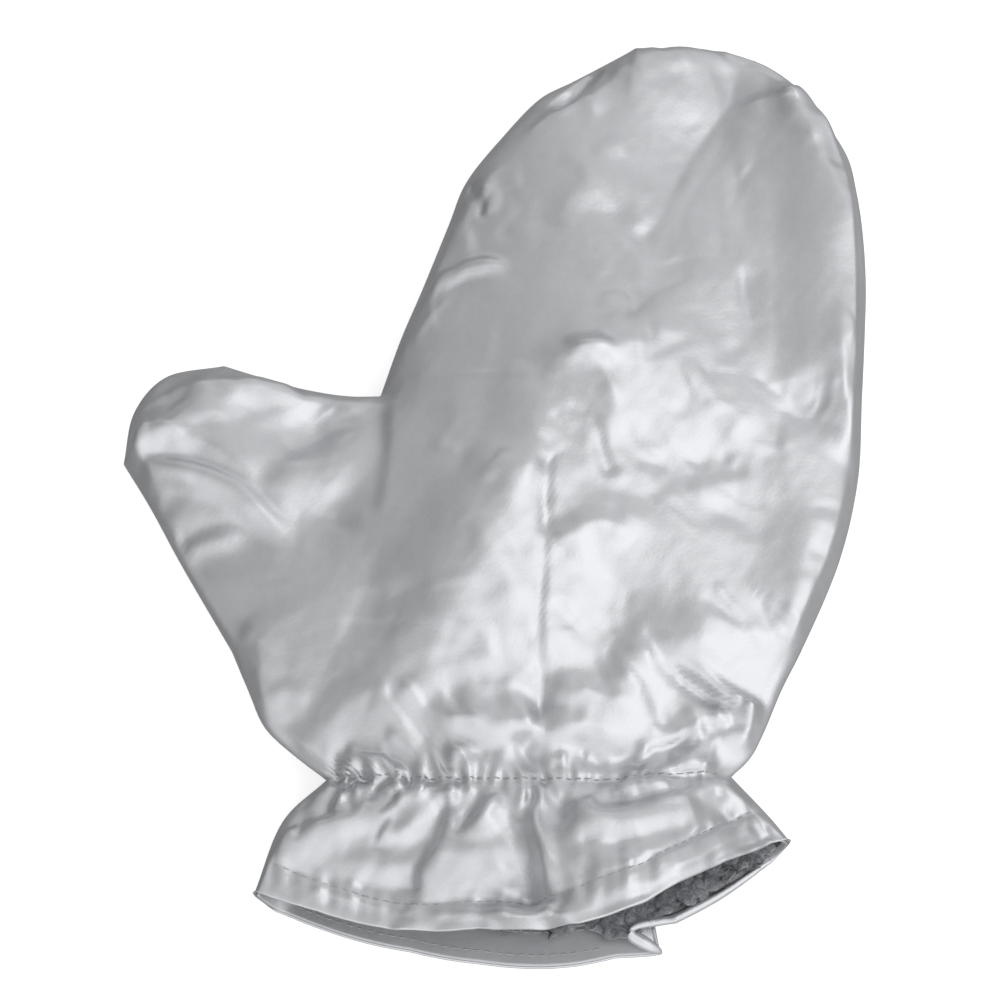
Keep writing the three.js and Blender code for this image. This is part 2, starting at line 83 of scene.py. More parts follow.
# across, front hem above the seam, front hem back from the bow, back hem back from the bow
MOUTH = np.array([
    (0.0, 0.0, 0.0, 0.0),
    (0.05, 1.6, 1.9, 1.6),
    (0.12, 3.6, 3.5, 2.2),
    (0.29, 4.6, 5.3, 3.2),
    (0.42, 11.0, 6.5, 1.7),
    (0.54, 19.5, 3.2, -0.9),
    (0.6, 24.0, 1.9, -1.9),
    (0.72, 26.0, 2.4, -3.2),
    (0.78, 23.0, 3.9, 0.0),
    (0.87, 15.5, 4.8, 0.0),
    (0.96, 5.0, 3.5, 0.9),
    (1.0, 0.0, 0.0, 0.0),
])


def smooth(share):
    share = np.clip(share, 0.0, 1.0)
    return share * share * (3.0 - 2.0 * share)


def spline(points, t):
    """Points of a smooth curve through the given points, at t from 0 to 1."""
    points = np.asarray(points, float)
    p = np.vstack([2 * points[0] - points[1], points, 2 * points[-1] - points[-2]])
    t = np.clip(np.atleast_1d(t), 0, 1) * (len(points) - 1)
    i = np.minimum(t.astype(int), len(points) - 2)
    w = (t - i)[:, None]
    a, b, c, d = p[i], p[i + 1], p[i + 2], p[i + 3]
    k0 = np.sqrt(np.linalg.norm(b - a, axis=1))[:, None]
    k1 = np.sqrt(np.linalg.norm(c - b, axis=1))[:, None]
    k2 = np.sqrt(np.linalg.norm(d - c, axis=1))[:, None]
    m1 = ((b - a) / k0 - (c - a) / (k0 + k1) + (c - b) / k1) * k1
    m2 = ((c - b) / k1 - (d - b) / (k1 + k2) + (d - c) / k2) * k1
    return b + m1 * w + (3 * c - 3 * b - 2 * m1 - m2) * w**2 + (2 * b - 2 * c + m1 + m2) * w**3


def cut_edge(table, runs, row):
    """The side seam at row numbers, drawn run by run so that it may turn a corner between two runs."""
    out = np.zeros((len(row), 2))
    for first, last in runs:
        inside = (row >= first) & (row <= last)
        out[inside] = spline(table[first:last + 1], (row[inside] - first) / (last - first))
    return out


LEFT_RUNS = [(0, GATHER), (GATHER, ROOT), (ROOT, CROTCH), (CROTCH, TIP)]
RIGHT_RUNS = [(0, GATHER), (GATHER, TIP)]


def plan(row, across):
    """Points of the mitt seen from above: row number along it, across from 0 at the left seam to 1."""
    row, across = np.broadcast_arrays(np.atleast_1d(row) * 1.0, np.atleast_1d(across) * 1.0)
    left, right = cut_edge(CUT_LEFT, LEFT_RUNS, row), cut_edge(CUT_RIGHT, RIGHT_RUNS, row)
    p = left + (right - left) * across[:, None]
    p[:, 1] -= np.interp(row, np.arange(len(CUT_ROWS)), CUT_BOW) * 4 * across * (1 - across)
    return p


def seam_points(step):
    """The whole side seam, as pieces of about that length: their ends."""
    curves = [cut_edge(CUT_LEFT, LEFT_RUNS, np.linspace(a, b, 600)) for a, b in LEFT_RUNS if a != ROOT]
    curves += [cut_edge(CUT_RIGHT, RIGHT_RUNS, np.linspace(a, b, 900)) for a, b in RIGHT_RUNS]
    curves += [spline(c, np.linspace(0, 1, 400)) for c in (THUMB_LOWER, THUMB_END, THUMB_UPPER)]
    curves += [plan(np.full(60, float(TIP)), np.linspace(0, 1, 60))]
    starts, ends = [], []
    for c in curves:
        far = np.concatenate([[0], np.cumsum(np.linalg.norm(np.diff(c, axis=0), axis=1))])
        at = np.linspace(0, far[-1], max(2, int(far[-1] / step) + 1))
        p = np.stack([np.interp(at, far, c[:, 0]), np.interp(at, far, c[:, 1])], axis=1)
        starts.append(p[:-1])
        ends.append(p[1:])
    return np.vstack(starts), np.vstack(ends)


SEAM_FROM, SEAM_TO = seam_points(1.5)
LEVEL_FROM, LEVEL_WIDTH = 1.5, 5.0  # distance at which the levelling starts, and over which it grows
POINTS_AT_ONCE = 4000


def edge_distance(p):
    """The distance to the side seam near it, levelling off in the middle of the hand and of the thumb."""
    out = np.zeros(len(p))
    run = SEAM_TO - SEAM_FROM
    length = np.linalg.norm(run, axis=1)
    for i in range(0, len(p), POINTS_AT_ONCE):
        q = p[i:i + POINTS_AT_ONCE, None, :] - SEAM_FROM[None]
        t = np.clip((q * run).sum(2) / (length**2), 0, 1)
        nearest = np.linalg.norm(q - t[:, :, None] * run, axis=2).min(1)
        middle = np.linalg.norm(q - 0.5 * run, axis=2)
        level = np.sqrt(2 / (length / np.maximum(middle, 0.05) ** 3).sum(1))
        share = smooth((nearest - LEVEL_FROM) / LEVEL_WIDTH)
        out[i:i + POINTS_AT_ONCE] = nearest + (level - nearest) * share
    return out


def new_object(name, bm, rounded):
    """An object in the scene made of that bmesh, shaded smooth where it is rounded."""
    mesh = bpy.data.meshes.new(name)
    bm.to_mesh(mesh)
    bm.free()
    if rounded:
        mesh.polygons.foreach_set("use_smooth", [True] * len(mesh.polygons))
    obj = bpy.data.objects.new(name, mesh)
    bpy.context.scene.collection.objects.link(obj)
    return obj


def cut_grid(rows, columns, thumb_out, surface, name):
    """A panel as one sheet: a grid for the hand and cuff, a second for the thumb, merged along its base.
    surface takes plan points with their row numbers and acrosses and gives places in millimetres."""
    bm = bmesh.new()
    bmesh.ops.create_grid(bm, x_segments=len(columns) - 1, y_segments=len(rows) - 1, size=1.0)
    co = np.array([v.co[:2] for v in bm.verts])
    i = np.rint((co[:, 1] + 1) / 2 * (len(rows) - 1)).astype(int)
    j = np.rint((co[:, 0] + 1) / 2 * (len(columns) - 1)).astype(int)
    row, across = rows[i], columns[j]
    places = [surface(plan(row, across), row, across)]
    body_count = len(bm.verts)

    if thumb_out is not None:
        thumb_rows = rows[(rows > ROOT - 1e-6) & (rows < CROTCH + 1e-6)]
        bmesh.ops.create_grid(bm, x_segments=len(thumb_out) - 1, y_segments=len(thumb_rows) - 1, size=1.0)
        bm.verts.ensure_lookup_table()
        co = np.array([v.co[:2] for v in bm.verts[body_count:]])
        i = np.rint((co[:, 1] + 1) / 2 * (len(thumb_rows) - 1)).astype(int)
        j = np.rint((1 - co[:, 0]) / 2 * (len(thumb_out) - 1)).astype(int)
        base = cut_edge(CUT_LEFT, LEFT_RUNS, thumb_rows)
        along = np.concatenate([[0], np.cumsum(np.linalg.norm(np.diff(base, axis=0), axis=1))])
        up = (along / along[-1])[i]
        out = thumb_out[j]
        lower, upper = spline(THUMB_LOWER, out), spline(THUMB_UPPER, out)
        end = spline(THUMB_END, up)
        near, far = out[:, None], up[:, None]
        root_to_end = THUMB_LOWER[0] + (THUMB_LOWER[-1] - THUMB_LOWER[0]) * near
        crotch_to_end = THUMB_UPPER[0] + (THUMB_UPPER[-1] - THUMB_UPPER[0]) * near
        p = lower + (upper - lower) * far + base[i] + (end - base[i]) * near
        p -= root_to_end + (crotch_to_end - root_to_end) * far
        places.append(surface(p, thumb_rows[i], np.zeros(len(p))))

    for vert, place in zip(bm.verts, np.vstack(places) * MM):
        vert.co = place
    bmesh.ops.remove_doubles(bm, verts=bm.verts, dist=1e-6)
    bmesh.ops.recalc_face_normals(bm, faces=bm.faces)
    return new_object(name, bm, True)


TIP_REACH, TIP_ROWS, TIP_CLOSING = 1.05, 9, 1.8  # row numbers before the tip, rows there, how they close up
CORNER_ROWS = (-0.03, -0.012, 0.012, 0.03)  # more rows beside the thumb's root and crotch


def row_numbers(first, spacing):
    """Row numbers about one spacing apart along the mitt, closer together towards the tip and beside the
    thumb's root and crotch, where the cloth turns down to the seam."""
    numbers = []
    for index in range(int(first), TIP):
        fine = np.linspace(index, index + 1, 30)
        middle = plan(fine, 0.5)
        length = np.linalg.norm(np.diff(middle, axis=0), axis=1).sum()
        count = max(1, int(round(length / spacing)))
        numbers.append(index + np.arange(count) / count)
    numbers = np.concatenate(numbers)
    numbers = numbers[(numbers > first + 1e-6) & (numbers < TIP - TIP_REACH)]
    before_tip = TIP - TIP_REACH * np.linspace(1, 0, TIP_ROWS) ** TIP_CLOSING
    corners = [corner + beside for corner in (ROOT, CROTCH) for beside in (*CORNER_ROWS, 0.0)]
    numbers = np.concatenate([[first], numbers, before_tip, corners])
    return np.unique(np.round(numbers, 5))


def closing(count, share):
    """Numbers from 0 to 1, closer together at both ends."""
    even = np.linspace(0, 1, count + 1)
    return even + (0.5 - 0.5 * np.cos(math.pi * even) - even) * share


def from_gather(p, row, across):
    """How far towards the fingertips from the gather line each plan point lies."""
    beside = np.clip((p[:, 0] - CUT_LEFT[GATHER, 0]) / (CUT_RIGHT[GATHER, 0] - CUT_LEFT[GATHER, 0]), 0, 1)
    line_across = np.where(row <= GATHER, across, beside)
    return p[:, 1] - plan(float(GATHER), line_across)[:, 1]


def mouth(across, column):
    return np.interp(across, MOUTH[:, 0], MOUTH[:, column])


def front_lift(p, row, across, distance):
    """Height of the front above the seam, before folds."""
    away = from_gather(p, row, across)
    squeeze = 1 - WAIST_SQUEEZE * np.exp(-((away / WAIST_REACH) ** 2))
    swell = np.sqrt(LOFT * distance) * squeeze
    at_mouth = np.maximum(mouth(across, 1), np.minimum(CORNER_LIFT, swell))
    in_cuff = at_mouth + (swell - at_mouth) * smooth(row / GATHER)
    return np.where(row < GATHER, in_cuff, swell)


def towards_mouth(row):
    return np.clip(1 - row / GATHER, 0, 1) ** 2


# The folds that the cloth lies in. Each is a crest, or with a negative height a valley, along a line of
# plan points. It falls off over one reach at the left of the line's direction and another at the right.
# crease is 1 for a sharp line and 0 for a soft swell, and start and end are the shares of the line over
# which it fades out: name, points, height, left, right, crease, start, end
FOLDS = [
    # thumb
    ("thumb_top", [(-109, 4.9), (-100.3, 9.9), (-90, 7.9), (-81, 2.9), (-73.6, -2.6), (-66.7, -12.4)],
     1.55, 10, 4.7, 0.69, 0.15, 0.25),
    ("thumb_middle", [(-105.8, -1.7), (-94.5, -2.8), (-83.8, -6), (-73.9, -10.9), (-64.5, -19.8),
                      (-54.5, -21.8)], 3.0, 3.8, 6.4, 0.15, 0.1, 0.3),
    ("thumb_wedge", [(-38.3, 12.1), (-46.9, 4.6), (-58.3, -3.9), (-67.8, -17.2)],
     2.04, 14.5, 6.5, 0, 0.3, 0.3),
    ("thumb_fold", [(-36, -16.8), (-52, -20.8), (-65, -20.8), (-75, -22.8), (-87.8, -23.5), (-91.8, -24.1)],
     -1.57, 13.3, 7.4, 0.24, 0.3, 0.05),
    ("thumb_glint", [(-92.7, -27), (-84.5, -23.7), (-70.6, -21.9)], 2.5, 3.2, 5.1, 0.56, 0.3, 0.3),
    ("thumb_end", [(-96.8, 19.9), (-92.8, 22.9), (-86.7, 24.3)], 0.8, 3.2, 3.6, 0.75, 0.4, 0.4),
    ("crotch_valley", [(-36, 20.9), (-35.6, 4.7), (-37, -11.4), (-39, -20.4)], -1.55, 4.6, 13, 0, 0.1, 0.3),
    ("crotch_tick", [(-19, 3.6), (-14.7, -0.2), (-10.3, -2.8)], 0.43, 2, 2.5, 0.6, 0.3, 0.3),
    # left of the palm
    ("palm_line", [(-32.2, -21.5), (-37.4, -40.3), (-43.9, -54.2), (-49, -64), (-56.2, -71.8)],
     -0.63, 6.5, 10.4, 0.93, 0.2, 0.4),
    ("palm_streak", [(-30.8, -30.6), (-31.4, -44.1), (-32.8, -58.5)], 0.28, 3.3, 4.1, 0.58, 0.3, 0.3),
    ("palm_diagonal", [(-26.2, -59.8), (-34.8, -68.8), (-43, -74.3), (-51.2, -81.8), (-58.6, -86.6)],
     2.28, 21.2, 8.7, 0.36, 0.3, 0.15),
    ("main_diagonal", [(16.5, 19.7), (10, 11.3), (9.5, 0.7), (1.5, -12.3), (-7.5, -22.3), (-13.5, -31.3),
                       (-17.5, -43.3), (-18.9, -54.5), (-28.8, -66.1)], 2.24, 16.5, 16.6, 0.05, 0.12, 0.2),
    ("root_leaf", [(-72, -46), (-68, -54), (-67, -60), (-67, -67), (-64.5, -78.2)],
     1.71, 7.8, 7.6, 0.59, 0.15, 0.2),
    ("root_line", [(-67.3, -55), (-61, -48), (-55, -45), (-47, -39)], 0.43, 5.6, 7.8, 0.66, 0.05, 0.4),
    ("root_glint", [(-66.3, -69.6), (-59.3, -67.6), (-52.3, -70.6)], 0.57, 3, 6, 0.7, 0.3, 0.2),
    ("palm_tick", [(-20.5, -65.7), (-14.2, -62.1), (-9.4, -63.6)], -0.34, 3, 3, 0.8, 0.2, 0.4),
    ("palm_facet", [(-14, -57), (-6, -55), (-2.4, -66.9)], 0.5, 4, 4, 0.5, 0.3, 0.3),
    # out of the wrist gathers, into the hand
    ("rise_long", [(-34, -66), (-32, -73), (-28, -79), (-22, -85), (-16, -91)],
     0.83, 2.9, 4.6, 0.55, 0.15, 0),
    ("rise_long_twin", [(-29.1, -65.8), (-22.5, -73.8), (-18.5, -80.8), (-11.2, -87.1)],
     1.31, 3.2, 3.9, 0.79, 0.2, 0),
    ("rise_low", [(-31.9, -81.2), (-28.3, -83.7), (-19.4, -91.1), (-16.1, -94.6)],
     1.14, 2.6, 2.8, 0.48, 0.2, 0),
    ("leaf_upper", [(-41.2, -85.9), (-36.6, -88.4), (-32.7, -88.7), (-26.9, -91.8)],
     1.33, 2, 3.1, 1, 0.15, 0),
    ("leaf_lower", [(-42.1, -83.4), (-35.7, -88.5), (-34.4, -91.2)], 0.88, 4.4, 2.5, 0.61, 0.2, 0),
    ("corner_left", [(-45.2, -89.6), (-41.2, -89.9), (-34.2, -90.9), (-31.3, -94.7)],
     2.62, 4.4, 3.1, 0.21, 0.1, 0.1),
    ("pillow_left", [(-19, -70.3), (-21.1, -76.4), (-18.5, -86.5), (-16, -92.6)],
     -1.16, 4.9, 6.1, 0.59, 0.2, 0),
    ("pillow_crest", [(-19.1, -73.9), (-7.6, -78.1), (-0.1, -80.5), (11.3, -75.4)],
     2.67, 7.6, 7.7, 0.16, 0.25, 0.25),
    ("pillow_valley", [(-15.1, -68.6), (-3.1, -66.6), (8.3, -72), (15.9, -72.7)],
     -1.26, 5.7, 8.2, 0.2, 0.3, 0.2),
    ("pillow_right", [(-2.2, -96.5), (0.4, -88.6), (7.2, -86.2)], 0.7, 2.5, 4.2, 0.82, 0, 0.3),
    ("pillow_blob", [(-6.5, -90.5), (-12.5, -88.6), (-3, -87.6)], 1.68, 3.8, 3.8, 0.21, 0, 0.3),
    ("dart_triangle", [(7.8, -78.5), (11.4, -87.8), (13.4, -94.8)], 0.31, 4.2, 2.5, 1, 0.2, 0),
    ("dart_shadow", [(9.3, -81.9), (6.9, -86.4), (8.5, -89.4)], -1.4, 4.1, 4.2, 0.6, 0.2, 0),
    ("heel_shadow", [(15.8, -92.5), (23.8, -86.8), (34.7, -86.3)], -0.78, 6, 9.7, 0.5, 0, 0.3),
    ("gather_tick_a", [(17.9, -89), (15.5, -89.6), (18.8, -89)], 1.19, 2.6, 1.6, 0.19, 0, 0.3),
    ("gather_tick_b", [(26.6, -92.3), (25, -87.3), (30.6, -88.3)], 0.57, 2.3, 2.7, 1, 0, 0.3),
    # fingers
    ("tip_valley", [(78, 141.3), (70.9, 124.8), (66.8, 114.5), (55.8, 97.1), (49.9, 83.8), (41.3, 58.7)],
     -3.28, 8.8, 28, 0.9, 0.22, 0.3),
    ("right_rim", [(84.2, 132.5), (96.5, 114.6), (103.2, 92.8), (104.6, 68.3), (103.8, 40.4),
                   (102.6, 19.3), (100.6, 3.3)], 8.0, 4.4, 24.2, 0.45, 0.2, 0.35),
    ("right_rim_low", [(101.4, 16.1), (97, -14.8), (93.8, -26.3), (84.4, -47.5), (81, -51.7)],
     4.5, 6, 19.3, 0.24, 0.4, 0.35),
    ("tip_streak", [(78.9, 112.6), (73.6, 102.3), (70.7, 93.7)], 0.39, 3.8, 5, 0.31, 0.3, 0.3),
    ("knuckle_upper", [(71.7, 54.9), (61.6, 55), (52.5, 50.5), (43.9, 42.3), (36.9, 40), (26.9, 37)],
     1.13, 13.1, 7.7, 0.44, 0.06, 0.4),
    ("knuckle_lower", [(43.9, 34.1), (34.5, 33.2), (28.6, 30.6), (19.7, 28.5), (16.3, 24.7), (10.9, 10.4)],
     1.9, 16.8, 10.1, 0.54, 0.1, 0.3),
    ("facet_top", [(16.8, 96.6), (27.1, 92.7), (36.1, 87.7), (47.1, 81.7)], 0.7, 7, 5.8, 0.84, 0.2, 0.2),
    ("facet_low", [(5.2, 74.7), (17.9, 75.1), (28.2, 76.7), (42.4, 77.2)], -0.83, 8.6, 9, 0.65, 0.2, 0.2),
    ("facet_left", [(29.2, 90.3), (21.1, 81.8), (16.4, 72.4)], 0.63, 6.9, 5.8, 0.45, 0.1, 0.1),
    ("edge_patch", [(-24.4, 52.3), (-14.9, 59.6), (-5.7, 61.4), (3.6, 58.4)], 3.17, 2.6, 4.9, 0.31, 0.3, 0.3),
    ("edge_dent", [(-10, 95), (-5.8, 82.8), (-6.1, 77.3)], -2.1, 2.1, 3.8, 0.81, 0.2, 0.3),
    ("edge_bump", [(-7.5, 91.8), (-2.8, 83.5), (-4.6, 78.4)], 1.48, 3.6, 3.9, 0.52, 0.3, 0.3),
    ("edge_dent_low", [(-0.8, 69.6), (3.7, 74.1), (10.3, 81)], -0.66, 3.7, 6.9, 0.6, 0.2, 0.4),
    ("crown_dent", [(14.8, 113.5), (24.4, 123.3), (29.8, 132.8)], -2.34, 3.3, 2.7, 0.26, 0.2, 0.1),
    ("crown_glint", [(34.4, 120.9), (36.2, 131.3)], 0.62, 3, 3, 0.4, 0.3, 0.1),
    ("crown_bump", [(28.2, 94.7), (33.3, 100.2), (39.2, 101.6)], 0.77, 4, 5, 0.4, 0.3, 0.3),
    ("fine_across", [(-20.6, 25.1), (-2.5, 23.6), (13, 21.2), (17.5, 20.6)], 0.32, 1.5, 1.5, 1, 0.2, 0.1),
    ("knuckle_tick", [(27.5, 43.4), (33.5, 47.4), (39.5, 45.4)], 0.72, 3, 4, 0.5, 0.3, 0.3),
    ("band_upper", [(22.6, 27.6), (25.4, 22.8), (33.8, 13.7)], -0.4, 6.3, 6.9, 0.02, 0.3, 0.3),
    ("band_right", [(56.1, 45.5), (65.1, 35.5), (70.1, 29.5)], -0.53, 6, 5, 0.2, 0.3, 0.3),
    ("tick_right", [(61, 27), (70.4, 27.4)], 0.36, 1.5, 2.5, 0.8, 0.3, 0.3),
    ("fan_right", [(90.2, 13.8), (94.9, 16.4), (96.7, 29)], 0.4, 2.3, 2.4, 1, 0.3, 0.3),
    # the hook and the lines right of it
    ("hook_valley", [(21.5, 17.8), (27, 6.7), (29, -1.3), (31, -8.3)], -0.89, 2.8, 4, 0.79, 0.3, 0.03),
    ("hook_crest", [(20.6, 11.3), (26.2, 5.4), (25.6, -0.7), (26.6, -6.7), (30.7, -8.6)],
     0.43, 3.3, 8.6, 1, 0.3, 0.1),
    ("hook_end", [(29.5, -8.7), (32.5, -9.7), (36.5, -6.7)], 0.45, 3, 3, 0.4, 0.2, 0.2),
    ("hook_tail", [(25.1, -4.6), (34.3, -12.3), (42.3, -13.5), (47.6, -10.6), (55.6, -15), (62.3, -16.5),
                   (72.3, -23.5)], -0.84, 13.4, 10.2, 0.61, 0.1, 0.25),
    ("hook_glint", [(38.3, -4.4), (44.2, -8.3), (48.3, -8.4)], 0.45, 3, 4.3, 0.91, 0.3, 0.3),
    ("hook_dark", [(46.2, -8.4), (54.8, -3.9), (66.8, -2.2)], -1.19, 8.2, 6.9, 0, 0.3, 0.3),
    ("dart_notch_a", [(14.4, 9.7), (19.2, 3.2)], -0.36, 2, 2, 0.8, 0.3, 0.3),
    ("dart_notch_b", [(19.4, 12.4), (25.4, 8.4)], -0.49, 2, 2, 0.8, 0.3, 0.3),
    ("dart_head", [(6.4, -10), (11.2, -2.5), (14.2, -4.5)], 0.49, 3.5, 5.1, 0.56, 0.3, 0.05),
    # right of the palm
    ("dart", [(14.1, -4.1), (13.1, -16.3), (12.2, -35.7), (10.8, -53.3), (11.8, -69.3), (10.8, -77.3),
              (8.4, -83), (8.5, -91.5)], -0.75, 1.5, 2.4, 0.95, 0.02, 0.3),
    ("pillow_top", [(15.9, -28.5), (19.9, -25.8), (25.9, -23.5), (31.9, -24.5), (36.8, -28.8)],
     1.41, 5.1, 11.8, 0.63, 0.05, 0.2),
    ("pillow_edge", [(32.5, -20.8), (42.4, -24.2), (48.4, -29.2), (54.4, -35.2), (58.2, -38.5),
                     (58.9, -46.8)], 0.53, 8.7, 15.5, 0.48, 0.1, 0.15),
    ("pillow_fall", [(38.3, -33.1), (34, -41.3), (30.7, -50.4), (23, -63.8)],
     -2.4, 14.1, 15.4, 0.13, 0.3, 0.3),
    ("heel_top", [(32, -64.9), (36.8, -61.8), (45.8, -57.2), (59, -53.9), (65, -46.9)],
     1.34, 11.5, 10.7, 0.14, 0.2, 0.1),
    ("heel_pillow", [(12.3, -70.8), (25, -73), (32, -73), (34.8, -68.6), (39.1, -64.3)],
     2.26, 8.3, 14.6, 0.16, 0.15, 0.2),
    ("dart_dark", [(12.9, -67), (16.9, -64), (24.6, -62), (30.1, -60.6)], -0.98, 8.3, 4.9, 0.35, 0.03, 0.3),
    ("heel_valley", [(41.8, -62.4), (48, -63.4), (53.4, -67), (60.6, -71), (66, -72.4), (69.9, -70.3)],
     -2.01, 4.4, 5, 1, 0.15, 0.15),
    ("heel_side", [(54.4, -64.6), (47.7, -75), (49.1, -80.4), (39.6, -89.6)], -1.39, 5, 8.6, 0, 0.3, 0),
    ("ridge_a", [(33.5, -97.1), (41.3, -84.3), (46.7, -82.6), (54.7, -77.6), (63.8, -74.4)],
     1.46, 5.1, 1.6, 0.69, 0, 0.1),
    ("ridge_b", [(42.4, -94.5), (54.4, -85.9), (60.4, -82), (71.5, -79.1)], 0.92, 2.2, 6.6, 0.36, 0, 0.1),
    ("heel_glint", [(51.2, -86.8), (60.2, -89.8), (68.2, -88.8)], 0.47, 2.8, 3.3, 0.28, 0.3, 0.3),
    ("edge_tuck", [(86.8, -26.5), (91.9, -27.8), (98.4, -27.8)], -0.67, 5.5, 3, 0.75, 0.3, 0.05),
    ("edge_tuck_low", [(79.3, -43.2), (82.7, -49.9), (86.2, -50.9)], 1.21, 4.7, 5.7, 0.45, 0.3, 0.1),
    # cuff
    ("cuff_corner", [(-58.5, -106.6), (-55.7, -111.4), (-48.8, -106.7), (-38.4, -103.9), (-35.9, -96.4)],
     3.4, 4.8, 10.3, 0.48, 0.1, 0.2),
    ("cuff_glint_a", [(-50.9, -92.6), (-50.9, -98.4), (-50.2, -104.1)], 1.79, 3.6, 3.9, 0.28, 0, 0.2),
    ("cuff_glint_b", [(-39.1, -96.4), (-44, -100.1), (-45.2, -103.2)], 2.41, 4.2, 2.5, 0.09, 0, 0.2),
    ("cuff_dark_a", [(-53.3, -98.6), (-48.3, -102.8), (-48.7, -106.9)], -0.98, 3.3, 2.9, 0.44, 0, 0.3),
    ("pocket_left", [(-29, -94.8), (-32, -101.8), (-32.8, -106.1), (-32.3, -111.2), (-32.4, -113.7)],
     0.78, 3.9, 4.7, 0.38, 0, 0.1),
    ("pocket_right", [(-32.7, -109.2), (-28.2, -111.2), (-22.4, -103.3), (-18.7, -100.3)],
     1.46, 7.5, 5.8, 0.47, 0.1, 0.2),
    ("pocket_inner", [(-22.8, -97.7), (-26.7, -100.4), (-32.1, -106.1)], 2, 5.1, 1.9, 0.53, 0, 0.2),
    ("pocket_shadow", [(-36.9, -114), (-28.9, -114), (-18.6, -115.2)], -1.07, 4.1, 6.3, 0.39, 0.3, 0.3),
    ("strong_crease", [(-14, -99.1), (-15.4, -103.2), (-18.2, -112.6), (-23.6, -122.6), (-23.2, -130.4)],
     -1.76, 2.7, 8.1, 1, 0.1, 0.1),
    ("streak", [(-0.8, -98.7), (-10.4, -109), (-9.8, -110.3)], -1.67, 2.6, 2.6, 0.68, 0, 0.3),
    ("pucker_u", [(1.7, -100.5), (5.4, -105.9), (8.6, -100.9)], -1.23, 2.7, 3.2, 1, 0, 0),
    ("cuff_line", [(-0.1, -105.5), (5.3, -110.2), (9.9, -126.7), (9.3, -134.4)],
     -3.37, 4.9, 4.9, 0.48, 0, 0.15),
    ("cuff_centre", [(11.2, -99), (9.6, -108.5), (11.4, -118.9), (14, -137), (16.8, -137.1)],
     3.45, 5.3, 4.5, 1, 0, 0),
    ("cuff_curve_b", [(14.4, -94.6), (19, -102.2), (21, -102)], 0.79, 2.5, 2.8, 0.81, 0, 0.3),
    ("cuff_bulge", [(22.1, -101.2), (25.6, -107.1), (43.8, -103.9), (61.9, -95.7)],
     5.14, 4.3, 9.1, 0.13, 0.1, 0.3),
    ("cuff_pucker_a", [(36.4, -123.4), (34.1, -120.6), (35.9, -115.8)], 0.78, 2.5, 3.2, 0.42, 0.2, 0.3),
    ("cuff_pucker_b", [(40.2, -120.2), (39.3, -116.9)], 0.39, 3, 3, 0.4, 0.2, 0.3),
    ("hem_kink_left", [(-24.9, -132.7), (-22.8, -136.5), (-26.2, -140.8)], 1.6, 6.5, 3.6, 0.14, 0.1, 0),
]
